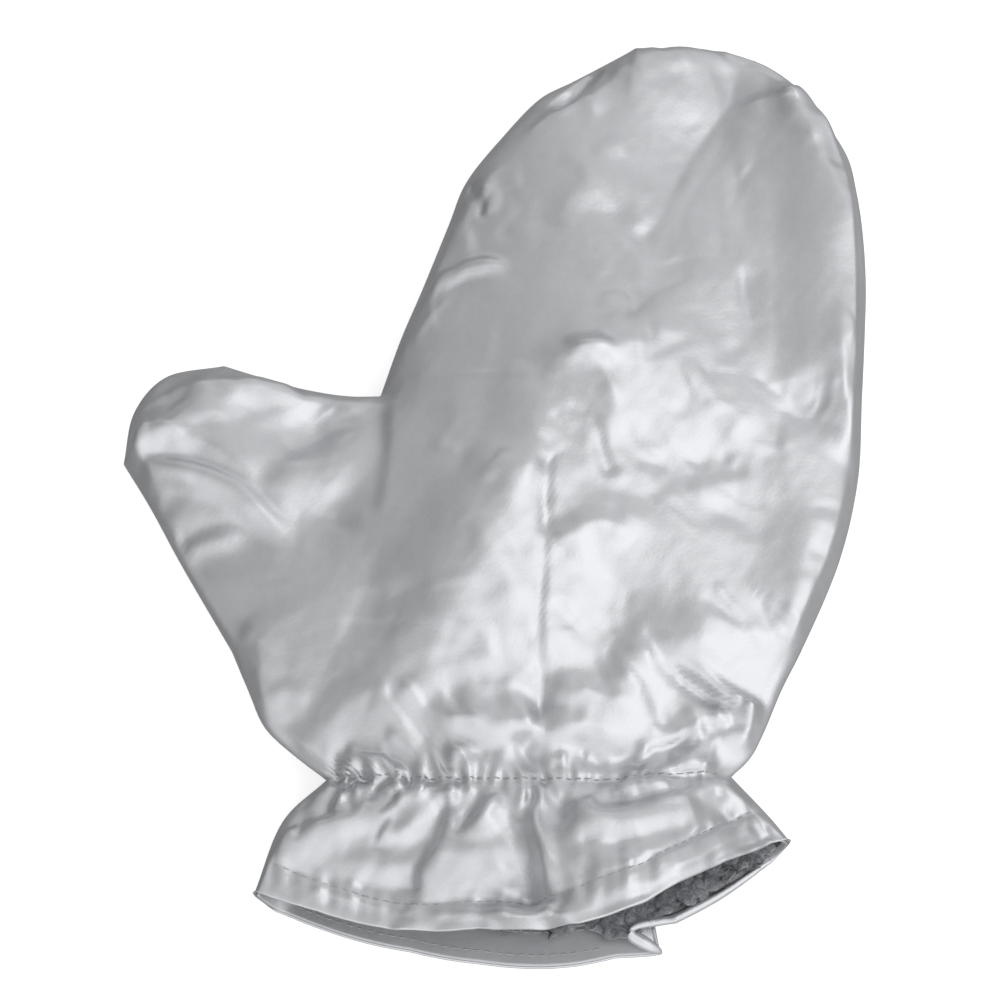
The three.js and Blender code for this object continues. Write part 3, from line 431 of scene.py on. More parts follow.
# The small creases all over the front, each a bent line through three plan points:
# x and y three times, height, left, right, crease
CREASES = [
    (62.3, -74.7, 55.6, -67.9, 45.7, -63.6, -0.83, 3, 3.3, 0.4),
    (76.2, 16.4, 90.8, 14.4, 94.9, 25.4, -0.61, 1.6, 8.7, 0.6),
    (96.9, 0.1, 101.2, 11.7, 94, 19.2, 1.9, 10.2, 9.7, 0.2),
    (76.1, -74.1, 66.7, -70.6, 59.9, -67.6, 0.7, 2.2, 2.2, 0.3),
    (75.9, -74.7, 65.7, -69.8, 54, -61.2, 0.61, 6.1, 1.6, 0.1),
    (83.2, 10.7, 90.7, 19.2, 90.8, 28.8, -1.02, 9.2, 5.5, 0.6),
    (74.1, 6.4, 65.2, 13.8, 55.7, 20.3, 1.66, 14, 14, 0.6),
    (35.7, 0.2, 33.2, 10.7, 30.5, 24.4, 1.18, 12.4, 10.1, 0.4),
    (36.4, -86.6, 21.2, -80.3, 5.2, -86.6, 1.48, 8.9, 7, 0.7),
    (9.1, -7.9, 16.1, -3.6, 19.8, 0.5, -1.06, 10.3, 7.2, 1),
    (76.7, -84.3, 64.8, -80.2, 60.3, -70.5, 0.81, 3.4, 2.9, 0.6),
    (77.8, -70.2, 66.5, -68, 59.5, -62.5, -0.71, 2.2, 13.3, 0.3),
    (93.4, -51.4, 78.7, -52.5, 63.1, -49.6, 1.14, 8, 5.9, 0.6),
    (-2.5, -79.1, -11, -78, -14.7, -78.3, 0.81, 3.9, 4.1, 1),
    (11.7, -0.9, 15, 0.2, 28.4, 8, -0.7, 14, 9.7, 1),
    (102.2, 9.1, 85.8, 15.8, 82.9, 24.8, -1.79, 11.6, 9, 0.5),
    (103.7, 1.3, 100.7, 16.3, 99.1, 31.9, 1.32, 6.1, 9.2, 0.7),
    (75.6, -77.5, 60.8, -67.5, 52.6, -60.4, 0.83, 3, 3.1, 0.1),
    (59.7, -72.4, 53.3, -68.1, 44.3, -68.6, -1, 4, 6.1, 0.1),
    (71.8, -4.6, 65, -2.7, 64.3, 4.1, -0.77, 4.8, 5, 0.8),
    (84.1, -53.6, 86.7, -41.7, 89.3, -33, 0.84, 7.3, 3, 0.4),
    (5.2, -73.6, 11.3, -69, 11, -62.5, -0.73, 10.9, 5.7, 0.6),
    (24.6, -77.8, 15.6, -74.7, 5.8, -73.5, -1.14, 5, 4.9, 0.8),
    (2.2, -43.7, -2.3, -29.8, -9.1, -29.6, 0.99, 9, 5.2, 0.2),
    (11.7, -27.1, 17.5, -23.9, 21.7, -21.7, -0.73, 6, 4.8, 0.1),
    (23.7, -40.4, 20.5, -34.3, 17.9, -27.9, -0.78, 5, 3.1, 0.4),
    (56, -60.2, 56.6, -52.1, 59.7, -45, 0.93, 11.4, 7, 0.5),
    (17.7, -30.6, 26.3, -24.4, 31.6, -24.4, 0.5, 4.9, 3.4, 0.7),
    (72.4, -75.8, 69, -71.5, 61.7, -70.7, 0.95, 3.7, 4.5, 0.9),
    (-12.7, -76.2, 3.3, -81.1, 12.5, -78.2, 0.93, 3.6, 4.1, 0.1),
    (72.4, -79.1, 70.4, -74.2, 59, -64.1, 1.04, 5.7, 4.3, 0.9),
    (60.9, -4.4, 53.5, -1, 48.1, 6.3, -0.61, 1.6, 10.8, 0.6),
    (45.6, -62.8, 42.5, -56.3, 41.5, -48.6, -0.59, 2.4, 4.6, 0.1),
    (53.2, 18.9, 57, 20.7, 60.6, 22.8, 0.9, 7.5, 5.8, 0.3),
    (7.5, -50.8, 0, -38.4, -11, -31.6, 1.17, 14, 7.4, 0.4),
    (13.7, -28.7, 13.4, -21, 10.8, -10.2, -1.15, 10.1, 6.4, 0.9),
    (2.7, -20.9, 4, -11, 7.5, -2.8, 0.62, 5.3, 7.1, 0.1),
    (52.3, -4.8, 41.7, 4.3, 29.6, 7.5, -0.81, 5.8, 4.2, 0.1),
    (71.6, -75, 69.4, -74.5, 62.6, -70.8, 1.03, 4.2, 4.9, 0.1),
    (61.1, -82.1, 51.9, -79.1, 44.2, -73.7, 0.63, 1.8, 1.8, 0.2),
    (100.2, 9.9, 103.5, 18.9, 104.8, 22.3, 0.85, 3.1, 5.2, 0.5),
    (83.7, 0.6, 68.7, 1.6, 57.3, 9.3, -0.71, 12.4, 2.3, 0.1),
    (39, 28.2, 27.2, 27.2, 18.4, 29.1, 1.06, 4.7, 4.4, 0.2),
    (52.7, -8, 41.2, -2.1, 31.5, 9, -0.75, 5.8, 3, 0.1),
    (24.6, -14.4, 31.9, -21.4, 41.1, -17.9, 0.81, 8.7, 7.8, 0.4),
    (54.4, -125.2, 60.4, -121.4, 76, -108.1, -0.85, 3.2, 3.9, 0.3),
    (7.2, -131.7, 3.5, -117.1, -2.3, -107.3, -1.11, 5.7, 4.8, 0.6),
    (65, -104.2, 61.3, -97, 47.2, -100.9, 1.53, 7.4, 9.6, 0.7),
    (42.5, -99.5, 34.8, -93.9, 27.9, -97, 1.56, 11, 7.6, 1),
    (48.6, -97.9, 44.4, -95.5, 30.5, -96.4, 0.91, 3.5, 7.5, 0.2),
    (33.9, -101.1, 35.9, -96, 41.6, -94.2, 0.83, 4.9, 3, 0.8),
    (-11.9, -109.2, -7.7, -101.8, -3.6, -96, -1.06, 5.7, 4.4, 0.6),
    (-14.8, -119.5, -4.6, -105.8, 2.9, -93.9, 1.97, 13.2, 11.9, 0.5),
    (-37.8, -97.6, -41.2, -90.4, -43.8, -80, -1.2, 6, 6.7, 0.2),
    (66.3, -121.1, 69.5, -115.2, 75.9, -114.1, -0.96, 9.1, 3.8, 0.7),
    (20.6, -106.8, 21.3, -94.6, 23.7, -88.9, 0.93, 3.6, 4.1, 0.4),
    (16, -138.4, 6.9, -129.7, -2.7, -120.7, -1.32, 6.1, 11.2, 0.1),
    (6.9, -109.7, -0.1, -105.2, -4.9, -99.4, 0.84, 8, 3, 0.5),
    (14.5, -135.1, 6.8, -127.1, 0.3, -114.5, -1.01, 4.1, 4.7, 0.2),
    (9.7, -100.2, 5.2, -97.5, 4.7, -93.4, 1.15, 7.1, 8.8, 0.9),
    (75.9, -107, 59.7, -95.2, 52.2, -101.2, 0.82, 2.9, 3.5, 0.3),
    (27.8, -96.8, 35.6, -92.3, 42.8, -81.1, -1.09, 4.6, 4.9, 0.9),
    (53.5, -96.5, 40.3, -95.4, 37.2, -89.3, 1.08, 6.5, 4.6, 0.3),
    (11.8, -132.8, 8.7, -132.2, -5.8, -125.4, -1.38, 6.4, 8.2, 0.3),
    (71.2, -103.8, 57.3, -90.7, 49.6, -81.6, 2.16, 11.3, 11.4, 1),
    (-4, -96.6, -14.8, -99.2, -25.7, -96.6, 1.29, 5.8, 7.4, 0.5),
    (-27.2, -127.3, -16.7, -120.4, -13.8, -112.8, 2.16, 12.6, 11.3, 0.4),
    (39.9, -85.2, 54.3, -88.8, 60.3, -89, 0.8, 4.7, 4.4, 0.9),
    (-25.1, -97.1, -29.3, -96.3, -33.1, -94, 0.92, 3.5, 5.6, 0.5),
    (20.4, -87.8, 30.7, -90.4, 40.9, -86.8, -0.8, 4.2, 2.8, 0.2),
    (10.6, -108.9, 9.3, -93.1, 2.3, -80.6, -0.98, 5.2, 3.9, 1),
    (-22.8, -128.6, -33.4, -126.6, -40.1, -123.1, -1.05, 4.4, 9.9, 0.4),
    (12.5, -117.9, 22, -109.2, 30.8, -102.8, 0.99, 4, 6.3, 0.3),
    (-19.4, -122.7, -14.8, -112.5, -13.6, -103.7, 0.95, 4.3, 3.8, 0.5),
    (2.4, -104.6, -1.6, -106.4, -9.4, -105.4, 1.04, 4.3, 6, 0.2),
    (16.1, -125.4, 1.4, -131.6, -8.4, -119.1, -1.47, 7, 10.3, 0.2),
    (38, -135.6, 38.3, -129.5, 36.5, -120.9, -1.17, 5.1, 5.4, 0.5),
    (54.5, -96.6, 47.4, -93.5, 45.1, -89.5, 1.12, 5.1, 5.3, 0.4),
    (50.3, -113.7, 56, -108.5, 59.7, -109.1, 0.71, 5.7, 2.3, 0.4),
    (17, -136.4, 4.8, -137.9, -13.3, -136.5, 0.85, 3.1, 3.2, 0.7),
    (73.8, 116.9, 72.2, 125.2, 68.9, 137.5, -1.44, 6.8, 10.4, 0.1),
    (38.9, 116, 41, 132.3, 41.7, 144, 1.46, 6.9, 11.2, 1),
    (25.7, 30.2, 35.6, 33.5, 46.7, 34.5, -0.69, 4.5, 2.5, 0.7),
    (39, 132.4, 46.1, 133.9, 51.3, 137.6, 1.61, 9.3, 9.8, 0.2),
    (83.4, 119.6, 89.1, 119.9, 92.2, 123, 1.31, 6.5, 6, 0.5),
    (99.6, 92.3, 101.1, 99.7, 96.5, 109, -1.29, 5.9, 11.1, 0.3),
    (80.2, 121.6, 90.2, 120.6, 90.3, 124.1, 1.25, 5.6, 7.9, 0.5),
    (50.5, 127.8, 58.5, 140, 62.7, 145.7, 2.46, 13.2, 13.7, 0.3),
    (94.8, 99.2, 91.8, 109.8, 84.2, 115.6, 1.4, 6.6, 6.6, 0.4),
    (98, 120.8, 86, 121, 85.4, 118, 1.1, 6.2, 4.7, 0.6),
    (89.9, 108.3, 88.9, 118.7, 82, 128.5, 1.53, 8.3, 7.4, 0.3),
    (85.7, 118, 89.6, 122.7, 89.3, 129, 0.89, 3.4, 4.4, 0.3),
    (49.3, 132.1, 57.1, 139, 74.1, 140.1, 1.07, 4.5, 9.4, 0.1),
    (17.3, 29.4, 25.8, 28.7, 31.3, 33, 0.76, 2.5, 6.5, 0.6),
    (108.7, 82.1, 102.6, 93.3, 101, 109.4, -1.04, 4.3, 4.4, 0.3),
    (54, 77.4, 63.7, 94.9, 75.6, 110.1, -0.98, 3.9, 13.3, 0.6),
    (-30.3, 58.1, -13.4, 69.7, -6.4, 71.3, 1.64, 14, 8.1, 0.1),
    (99, 16.9, 99.9, 29.3, 98.6, 40, 0.8, 6.5, 3.3, 0.7),
    (73.6, 31.8, 72.3, 48.2, 68.5, 61.5, -1.3, 7.5, 10.1, 0.7),
    (-16.6, 71.1, -8, 84.4, -0.4, 91.8, 0.92, 4.8, 3.5, 0.1),
    (55.8, 92, 65.2, 101.5, 70.4, 113.5, -0.93, 3.6, 5.4, 0.7),
    (-26.1, 37.1, -21.5, 45.2, -12.7, 54.5, 0.71, 3.1, 2.3, 0.7),
    (7.4, 105.5, 14.9, 111.2, 31.1, 119, 0.74, 2.9, 2.4, 0.9),
    (-6, 73.6, -6, 87.6, 2.7, 98.5, 0.93, 6, 3.6, 0.5),
    (10.9, 111.5, 24, 116.4, 36.9, 126.6, 1.17, 5.1, 7.4, 0.4),
    (32.1, 35.8, 44.5, 48.7, 57.2, 56.7, -0.61, 1.6, 5.7, 0.6),
    (35.9, 43.4, 49.5, 54.2, 57.8, 56, -0.53, 5.4, 3, 1),
    (46.9, 67.4, 38.2, 71.3, 27, 80.4, -0.81, 3.4, 7.7, 0.1),
    (48.2, 53.2, 45.1, 64.3, 37.7, 71.3, -1.24, 5.6, 14, 0.1),
    (56.2, 64.2, 53.8, 75.4, 58.9, 91.8, -0.69, 8.2, 8.2, 0.7),
    (40, 33.8, 39.6, 42, 36.6, 55.7, -1.21, 6.6, 6.6, 0.7),
    (68.1, 77.3, 71, 88, 78.3, 96.6, -0.64, 1.8, 7.3, 0.8),
    (41.1, 123.5, 36.8, 132.2, 39.4, 139.3, 1.01, 4.1, 8.8, 0.4),
    (-4.1, 85.6, 1.1, 88.2, 7.5, 88.8, 0.88, 8.9, 3.8, 0.8),
    (73.9, 66.5, 72.8, 80.1, 76.3, 91.2, -0.75, 4.7, 7.6, 0.5),
    (-66.6, 24.1, -48.9, 19.1, -37.8, 24.9, 1.3, 5.9, 6, 0.1),
    (-47.3, -0.1, -61.7, 5.7, -67.6, 14.3, -1.43, 6.7, 12, 0.2),
    (-113.4, -1.8, -102.2, 5.5, -94.8, 12.6, 1.17, 5.5, 5.1, 0.3),
    (-101.8, -4.3, -103.7, 6.1, -103, 21.5, 1.53, 7.4, 10.9, 0.2),
    (-69.1, 14.2, -64, 24, -60.5, 27.3, 2.03, 13.1, 10.5, 0.1),
    (-82, 18.4, -69, 27.8, -67.4, 33, 2.03, 12.1, 10.5, 0.8),
    (-45.6, -3.2, -50.8, 11.4, -57.7, 19.1, -2.09, 11.3, 10.9, 0.1),
    (-71.4, 14.8, -81, 23, -83.2, 31.8, 1.26, 12.8, 5.7, 0.1),
    (-103.6, -3.1, -103.7, 7.6, -95.1, 3.5, 1.11, 4.8, 6.4, 0.1),
    (-43.8, -23.3, -56.2, -14.6, -70.6, -8.6, -0.74, 4.6, 2.4, 0.8),
    (-85.3, -6.7, -96.1, -4.6, -104.7, -5.7, 0.8, 2.8, 5.7, 0.2),
    (-48.5, -20.8, -45.5, -16.2, -47.4, -7.5, -1.24, 10.5, 8.5, 0.4),
    (-38.3, 9.4, -47.4, 15.8, -49.8, 18.3, -0.87, 11.7, 3.3, 0.4),
    (-71.1, 22.6, -58.6, 23.4, -48.3, 23.8, 1.3, 7.8, 5.9, 0.1),
    (-63.2, 2.5, -57.5, 7.2, -48.5, 13.4, -1.42, 6.7, 10.4, 0.6),
    (-64, 21, -77.4, 23.3, -95.7, 23, 1.22, 13.2, 5.4, 0.5),
    (-90.5, 2.3, -97, 10.2, -107.7, 15.9, 0.82, 14, 2.9, 0.2),
    (-55.8, 26.6, -69.4, 24, -79.5, 30.1, 1.2, 7.2, 5.3, 0.7),
    (-87.8, -0.6, -94.4, 7.5, -102.4, 17, 1.1, 4.7, 8.5, 0.9),
    (-6.9, -83.2, -13.8, -73.1, -20.3, -66.4, -0.76, 4.7, 2.6, 0.1),
    (-100.3, 5.1, -91.8, 10.9, -83.2, 19, 0.74, 2.4, 4.7, 0.2),
    (-84.4, 8.4, -84.3, 18.3, -76.5, 29.8, 1.71, 13.9, 8.6, 0.5),
    (-27.1, -54.8, -36.5, -51.9, -46.3, -50.6, -0.8, 14, 2.8, 0.1),
    (-98.5, 8.8, -88.4, 19.7, -84.2, 37.5, 0.88, 3.3, 4.9, 0.2),
    (-41.8, -26.8, -50.8, -16.1, -63.5, -12, -1.15, 13, 7.4, 0.3),
    (-84, 22.8, -74.2, 25.7, -63.6, 24.3, 0.92, 3.6, 3.9, 0.4),
    (-104.1, -0.7, -103, 9.3, -100.6, 10, 0.95, 5, 4.7, 0.8),
    (-108.4, 16.7, -91.8, 22.4, -80.4, 23, 0.72, 2.3, 2.6, 0.7),
    (-44.4, -46.4, -28.2, -44.9, -18.6, -40.8, -1.13, 6.2, 10.3, 0.2),
    (-82.6, 6.1, -100.7, 5.8, -109.3, 8.9, 1.52, 7.3, 8.5, 0.2),
    (43.2, -59.5, 39.5, -59.1, 34.3, -55.6, 0.9, 3.7, 4.3, 0.9),
    (83.9, 20.7, 79, 22.1, 72.6, 26, -0.65, 2.5, 4.6, 0.7),
    (27.2, -58.6, 18.3, -49.7, 14.4, -44.6, -0.79, 4.9, 3.1, 0.8),
    (81.3, -53.1, 77.3, -49, 74.8, -42, 0.68, 2.1, 3.9, 0.9),
    (77.9, -24.8, 67.4, -18.2, 58.4, -15.1, -1.06, 5.7, 9.7, 0.5),
    (50.1, -79.5, 57.9, -76.4, 60.8, -76.1, -0.61, 4.5, 1.6, 0.4),
    (-8.4, -13.9, -0.4, -6.8, 1.5, -1.6, 0.61, 1.6, 3.6, 0.3),
    (13.3, -85.9, 5.7, -75.6, -0.6, -68.1, 0.96, 3.8, 4.1, 0.7),
    (69.5, -85.7, 69.7, -76.8, 68.5, -68.9, 1.55, 7.7, 7.5, 0.8),
    (69.1, -48.6, 63.4, -42.8, 59.8, -37.6, 0.73, 2.4, 2.4, 1),
    (79, 0.4, 79.5, 7.6, 80.8, 16, -0.69, 6, 3.3, 0.7),
    (19.1, -46.8, 17.2, -38, 12.3, -32.6, -0.73, 4.2, 3.8, 0.7),
    (55.7, -87.3, 55.7, -79.3, 52.5, -71.5, 0.61, 1.6, 1.9, 0.9),
    (-9.1, -77.1, -12.5, -70.6, -17.5, -57.2, -1.02, 4.2, 5.2, 0.5),
    (-12.7, -62.7, -4.4, -63.2, 2, -62.7, 0.47, 2.4, 4, 0.8),
    (64.7, -77.4, 61.2, -74.8, 59, -72.3, 0.76, 3.3, 3.9, 0.2),
    (51.1, -79.4, 44.8, -80.7, 40.7, -77.8, 0.72, 2.6, 2.3, 0.8),
    (67.9, -12.5, 61.4, -12.1, 53.1, -12.1, 0.58, 6.6, 6.9, 0.8),
    (45.7, -78.5, 41.3, -71.9, 38, -69.8, -0.63, 1.7, 4.5, 0.9),
    (34.8, 10.2, 29.6, 20.1, 23.5, 28.4, 0.95, 4.8, 3.8, 0.8),
    (60.5, -89.6, 53.8, -90.2, 48.5, -88.3, 0.58, 4.3, 2.1, 0.5),
    (19.7, -140.9, 5.3, -140.9, -4.4, -143, -1.09, 6.1, 4.7, 0.4),
    (22.3, -137.4, 33.3, -133.9, 47.6, -131.5, -0.91, 3.7, 3.5, 0.4),
    (5.1, -137.3, 5.2, -131.2, 1.1, -122.8, -1.28, 6.4, 5.8, 0.6),
    (48.1, -102.2, 39.2, -97.7, 30.9, -98.6, 1.26, 5.7, 5.8, 0.1),
    (-22.3, -102, -27.6, -95.4, -30.6, -91.1, 0.78, 2.7, 2.8, 0.9),
    (53.8, -114.7, 52, -104.8, 49.5, -97.2, 0.9, 3.7, 3.5, 0.6),
    (62.7, -120.3, 71.1, -116.1, 80, -109.2, 0.77, 2.6, 3.6, 0.8),
    (-3.2, -135.5, 4.1, -137.9, 18, -134.1, 1.01, 4.6, 4.1, 0.5),
    (60.2, -107.2, 63.8, -106, 65.6, -102.1, -0.96, 4.2, 3.8, 0.8),
    (-21.4, -100.1, -13.8, -99.2, -4.5, -99.5, 0.61, 2.9, 3, 0.5),
    (22.1, -134.7, 22, -124.3, 22.9, -127.7, -0.68, 5.4, 2.1, 0.4),
    (24.9, -130.9, 21.7, -121.4, 18.7, -113.3, -1.06, 5, 4.4, 0.2),
    (5.2, -100, -0.9, -102, -5.5, -100.3, 0.84, 13.7, 3.1, 0.1),
    (51.1, -93.4, 45.6, -93.1, 41.8, -91, -0.72, 3.3, 2.3, 0.4),
    (-5.4, -126.8, 1.2, -129.9, 10.8, -129.3, -0.9, 3.4, 8.8, 0.3),
    (-26, -111.2, -24.2, -108.2, -14.4, -102.5, 0.58, 4.6, 3.7, 0.2),
    (9.9, -130.1, 5.5, -122, -4.6, -120.1, -1.11, 6.2, 4.7, 0.7),
    (23.5, -123.7, 20, -115, 18.3, -107.7, 0.87, 5.6, 3.2, 0.5),
    (23.9, -93.5, 32.3, -94.1, 48.7, -89.5, -0.63, 1.8, 3.5, 0.9),
    (-7.4, -114.5, -4.4, -107.8, 1.6, -103.6, 0.81, 6.2, 5.4, 0.7),
    (-15.6, -103.8, -12.9, -95.7, -13.5, -86.7, 0.43, 1.6, 3.2, 0.5),
    (-8.1, -134.7, 4.4, -137.4, 15.2, -134.3, 0.76, 2.6, 5.2, 0.4),
    (0.3, -134.7, -5.7, -133, -10, -126.9, -1.08, 4.5, 5.3, 0.3),
    (72.7, -114.2, 71.5, -111.4, 69.4, -106.3, -0.72, 2.3, 3.5, 0.6),
    (-44.2, -111.1, -37.6, -111.5, -29.5, -108.7, -0.76, 5.6, 6.4, 0.5),
    (-34.9, -102, -29.5, -93.9, -20.1, -95.7, 0.52, 2, 3.7, 0.2),
    (10.3, -143.5, 15, -136.8, 19.8, -136.3, -0.81, 2.9, 11.4, 1),
    (33.4, 29.5, 27.1, 27.8, 21.6, 30.1, 0.8, 3.7, 3.4, 0.4),
    (101.1, 33.2, 101.7, 42.3, 97.7, 48.1, 0.61, 7.9, 1.6, 0.1),
    (21, 116.4, 20, 120, 18.2, 122.3, -0.94, 4.7, 3.7, 0.9),
    (-8.7, 72.5, -6.4, 83.8, -5.4, 90.4, 0.82, 3.7, 2.9, 0.7),
    (31.3, 111.7, 25.3, 118.6, 23.3, 120.2, 0.93, 3.7, 3.9, 0.6),
    (-19, 39.7, -20.5, 51, -16.2, 63.3, 0.54, 5.6, 1.9, 0.8),
    (91.3, 118.4, 83.4, 119.3, 71, 116.4, 1.24, 5.7, 5.6, 0.6),
    (66.6, 84.3, 72, 92, 80.3, 99.1, -0.57, 2.3, 4.4, 1),
    (0.7, -73.5, -10.9, -74.8, -14.3, -63.6, -0.88, 3.3, 4.9, 0.7),
    (40.8, -73.7, 25.8, -71.3, 21.6, -67.3, 0.83, 5.1, 3, 0.5),
    (-8, -65.8, -10.8, -58.4, -16.7, -54.8, -0.77, 4.3, 4.9, 0.3),
    (76.6, 15.2, 88.7, 17.7, 95.4, 24, -0.46, 3.3, 3, 1),
    (51, -67.5, 49.5, -63.7, 38.5, -52.7, -0.66, 2, 5, 0.8),
    (15.5, -76.1, 8.3, -60.1, 7.7, -53.7, -0.78, 6.8, 2.7, 0.7),
    (77.5, -15.2, 70, -13, 60.6, -8.5, -0.54, 2.1, 4.7, 1),
    (49.2, -12.9, 42.9, -6.6, 44.4, 0, -0.65, 14, 4.7, 0.4),
    (7.5, -86, 8, -78.7, 8.4, -70.8, 0.68, 3.7, 2, 0.4),
    (34.2, 29.1, 22.9, 29.9, 22.1, 33.5, 1.11, 4.7, 6.2, 0.3),
    (57.4, -77.6, 51.5, -81.6, 49, -78.9, 0.72, 3.7, 2.3, 0.9),
    (11.8, -10.3, 4.6, -8.3, -12.6, -6.5, 1.17, 7.1, 9.4, 0.3),
    (13.7, -144.6, 14, -137, 14.1, -123.1, -1.46, 6.9, 8.7, 0.8),
    (14.7, -137.9, -0.6, -137, -7.5, -138.4, 0.69, 2.1, 2.4, 0.9),
    (39.3, -95.7, 27.8, -91.1, 23.7, -87.7, -0.67, 3.6, 2, 0.3),
    (-4.5, -100.4, -7.6, -93.5, -12.6, -84.3, 0.8, 2.9, 2.8, 0.8),
    (-19.1, -136.1, -12.7, -136.4, -6.4, -139.3, 1.02, 4.4, 4.2, 1),
    (14.4, -123.6, 4.9, -107, 0.6, -100.4, 0.72, 3.3, 2.3, 0.7),
    (8.4, -126.7, 6.8, -116.7, 3.9, -100.5, 0.82, 2.9, 5.9, 0.8),
    (-38.2, -102.9, -39.5, -95.5, -50.2, -88.4, -0.99, 4, 6, 0.5),
    (22.8, -92.9, 14.8, -91.1, 8.4, -84.2, -0.94, 3.8, 3.7, 0.5),
    (-1.4, -108.8, -2.9, -101.8, 1.5, -93.4, 0.79, 2.8, 3.7, 0.4),
    (39.7, -95.3, 45.2, -96.6, 34.3, -86.6, 1.43, 7.4, 6.7, 0.1),
    (57.3, -99.2, 53, -91, 45.4, -88, 0.98, 3.9, 4, 0.1),
    (30.2, -96.3, 36.1, -92.4, 42.1, -86.6, -0.7, 2.2, 2.9, 0.7),
    (12.8, -95.7, 9.9, -94.9, 0.8, -91.2, 0.96, 5.8, 3.8, 1),
    (-28.6, -133.1, -45.4, -126.7, -52.7, -125.7, 0.77, 3.6, 2.6, 0.4),
    (-20.3, -102.6, -17.9, -101.5, -13.2, -96.5, 0.63, 5.1, 4.5, 0.9),
    (12.7, -113.4, 10.9, -104.9, 11.3, -94.5, -0.75, 2.5, 2.5, 0.5),
    (22.8, -106.7, 17.5, -94.1, 16.4, -89.6, 0.82, 3.9, 3.4, 1),
    (3.6, -138.7, 10.6, -131, 19.6, -135, -1.04, 11.4, 4.3, 1),
    (41.7, -125.7, 35, -118.7, 26.6, -115.3, -0.99, 4, 7.4, 0.7),
    (41.1, -87.7, 27.7, -88.8, 20, -81.9, -1.41, 6.6, 7, 0.5),
    (44.5, -127, 52.6, -122.8, 58.9, -122.2, 0.78, 6.1, 2.8, 0.6),
    (40.5, -103.4, 49.3, -100.3, 56.6, -96, 0.78, 3, 2.7, 1),
    (35.6, -99, 30.7, -98.6, 22.3, -101.3, 0.66, 2.1, 1.9, 0.9),
    (-18.7, -125.8, -34.1, -126.1, -48.6, -119.9, -0.95, 3.8, 6.5, 0.6),
    (42.3, -102, 41.7, -89.6, 39.1, -81, 1.03, 4.2, 4.7, 0.1),
    (18.5, -112.1, 17.3, -106.2, 18.9, -98, -0.95, 3.8, 3.7, 0.7),
    (11.2, -114.2, 1.7, -105.1, -6.4, -99.5, 0.94, 3.7, 4.3, 0.7),
    (52.5, -115.9, 60.9, -108.3, 63.6, -103.8, -0.84, 3.1, 5, 0.5),
]
CREASE_FADE = 0.3  # share of a small crease over which it fades out at either end

# Broad places where the cloth stands up or, with a negative height, has sunk: x, y, height
SWELLS = np.array([
    (-50, -70, -1.0), (0, -70, -2.8), (25, -70, -4.3), (50, -70, -2.0), (-62.5, -45, -1.3),
    (-37.5, -45, -3.0), (-12.5, -45, 1.1), (12.5, -45, -1.8), (37.5, -45, -4.7), (62.5, -45, -1.5),
    (-75, -20, -2.0), (-50, -20, -4.7), (-25, -20, -1.2), (0, -20, 2.4), (25, -20, -1.4),
    (50, -20, -2.6), (75, -20, -3.0), (-87.5, 5, 1.5), (-62.5, 5, -2.0), (-37.5, 5, -2.0),
    (-12.5, 5, 1.4), (37.5, 5, -1.6), (62.5, 5, -3.2), (87.5, 5, -0.7), (-25, 30, 0.4), (0, 30, 0.5),
    (25, 30, 3.2), (50, 30, 1.0), (75, 30, -3.1), (100, 30, 1.5), (-12.5, 55, 0.4), (37.5, 55, -2.3),
    (62.5, 55, -2.8), (87.5, 55, -0.7), (0, 80, 0.7), (25, 80, 0.5), (50, 80, -3.1), (75, 80, -3.7),
    (100, 80, 1.2), (12.5, 105, 2.4), (37.5, 105, -1.4), (62.5, 105, -6.3), (87.5, 105, -1.1),
    (50, 130, 1.7), (75, 130, -2.6),
])
SWELL_RADIUS = 19.0
SEAM_FADE = 4.0  # edge distance over which folds fade out towards the side seam
FOLD_ROUNDING = 0.6  # radius of a sharp fold's crest

# Row number of the hem's stitch row, across from left to right
HEM_STITCHES = np.array([
    (0.0, 0.4), (0.1, 0.33), (0.28, 0.295), (0.42, 0.345), (0.57, 0.385), (0.62, 0.46), (0.72, 0.53),
    (0.8, 0.68), (0.9, 0.985), (1.0, 1.25),
])
GATHER_STITCH_ROW = 2.04
LINE_STEPS = 8  # steps of a fold's line for each of its points


def folds_relief(p, folds):
    """Height of all the folds at plan points."""
    relief = np.zeros(len(p))
    for name, points, height, left, right, crease, start, end in folds:
        line = spline(points, np.linspace(0, 1, LINE_STEPS * len(points)))
        reach = max(left, right)
        near = np.flatnonzero(np.all((p > line.min(0) - reach) & (p < line.max(0) + reach), axis=1))
        if not len(near):
            continue
        run = np.diff(line, axis=0)
        off = p[near][:, None, :] - line[None, :-1]
        t = np.clip((off * run).sum(2) / (run**2).sum(1), 0, 1)
        gap = np.linalg.norm(off - t[:, :, None] * run, axis=2)
        gap = np.hypot(gap, FOLD_ROUNDING) - FOLD_ROUNDING
        piece = gap.argmin(1)
        at = np.arange(len(near))
        side = run[piece, 0] * off[at, piece, 1] - run[piece, 1] * off[at, piece, 0]
        along = (piece + t[at, piece]) / len(run)
        share = np.clip(1 - gap[at, piece] / np.where(side > 0, left, right), 0, 1)
        profile = crease * share**2 + (1 - crease) * (1 - (1 - share) ** 2) ** 2
        if start:
            profile = profile * smooth(along / start)
        if end:
            profile = profile * smooth((1 - along) / end)
        relief[near] += height * profile
    return relief


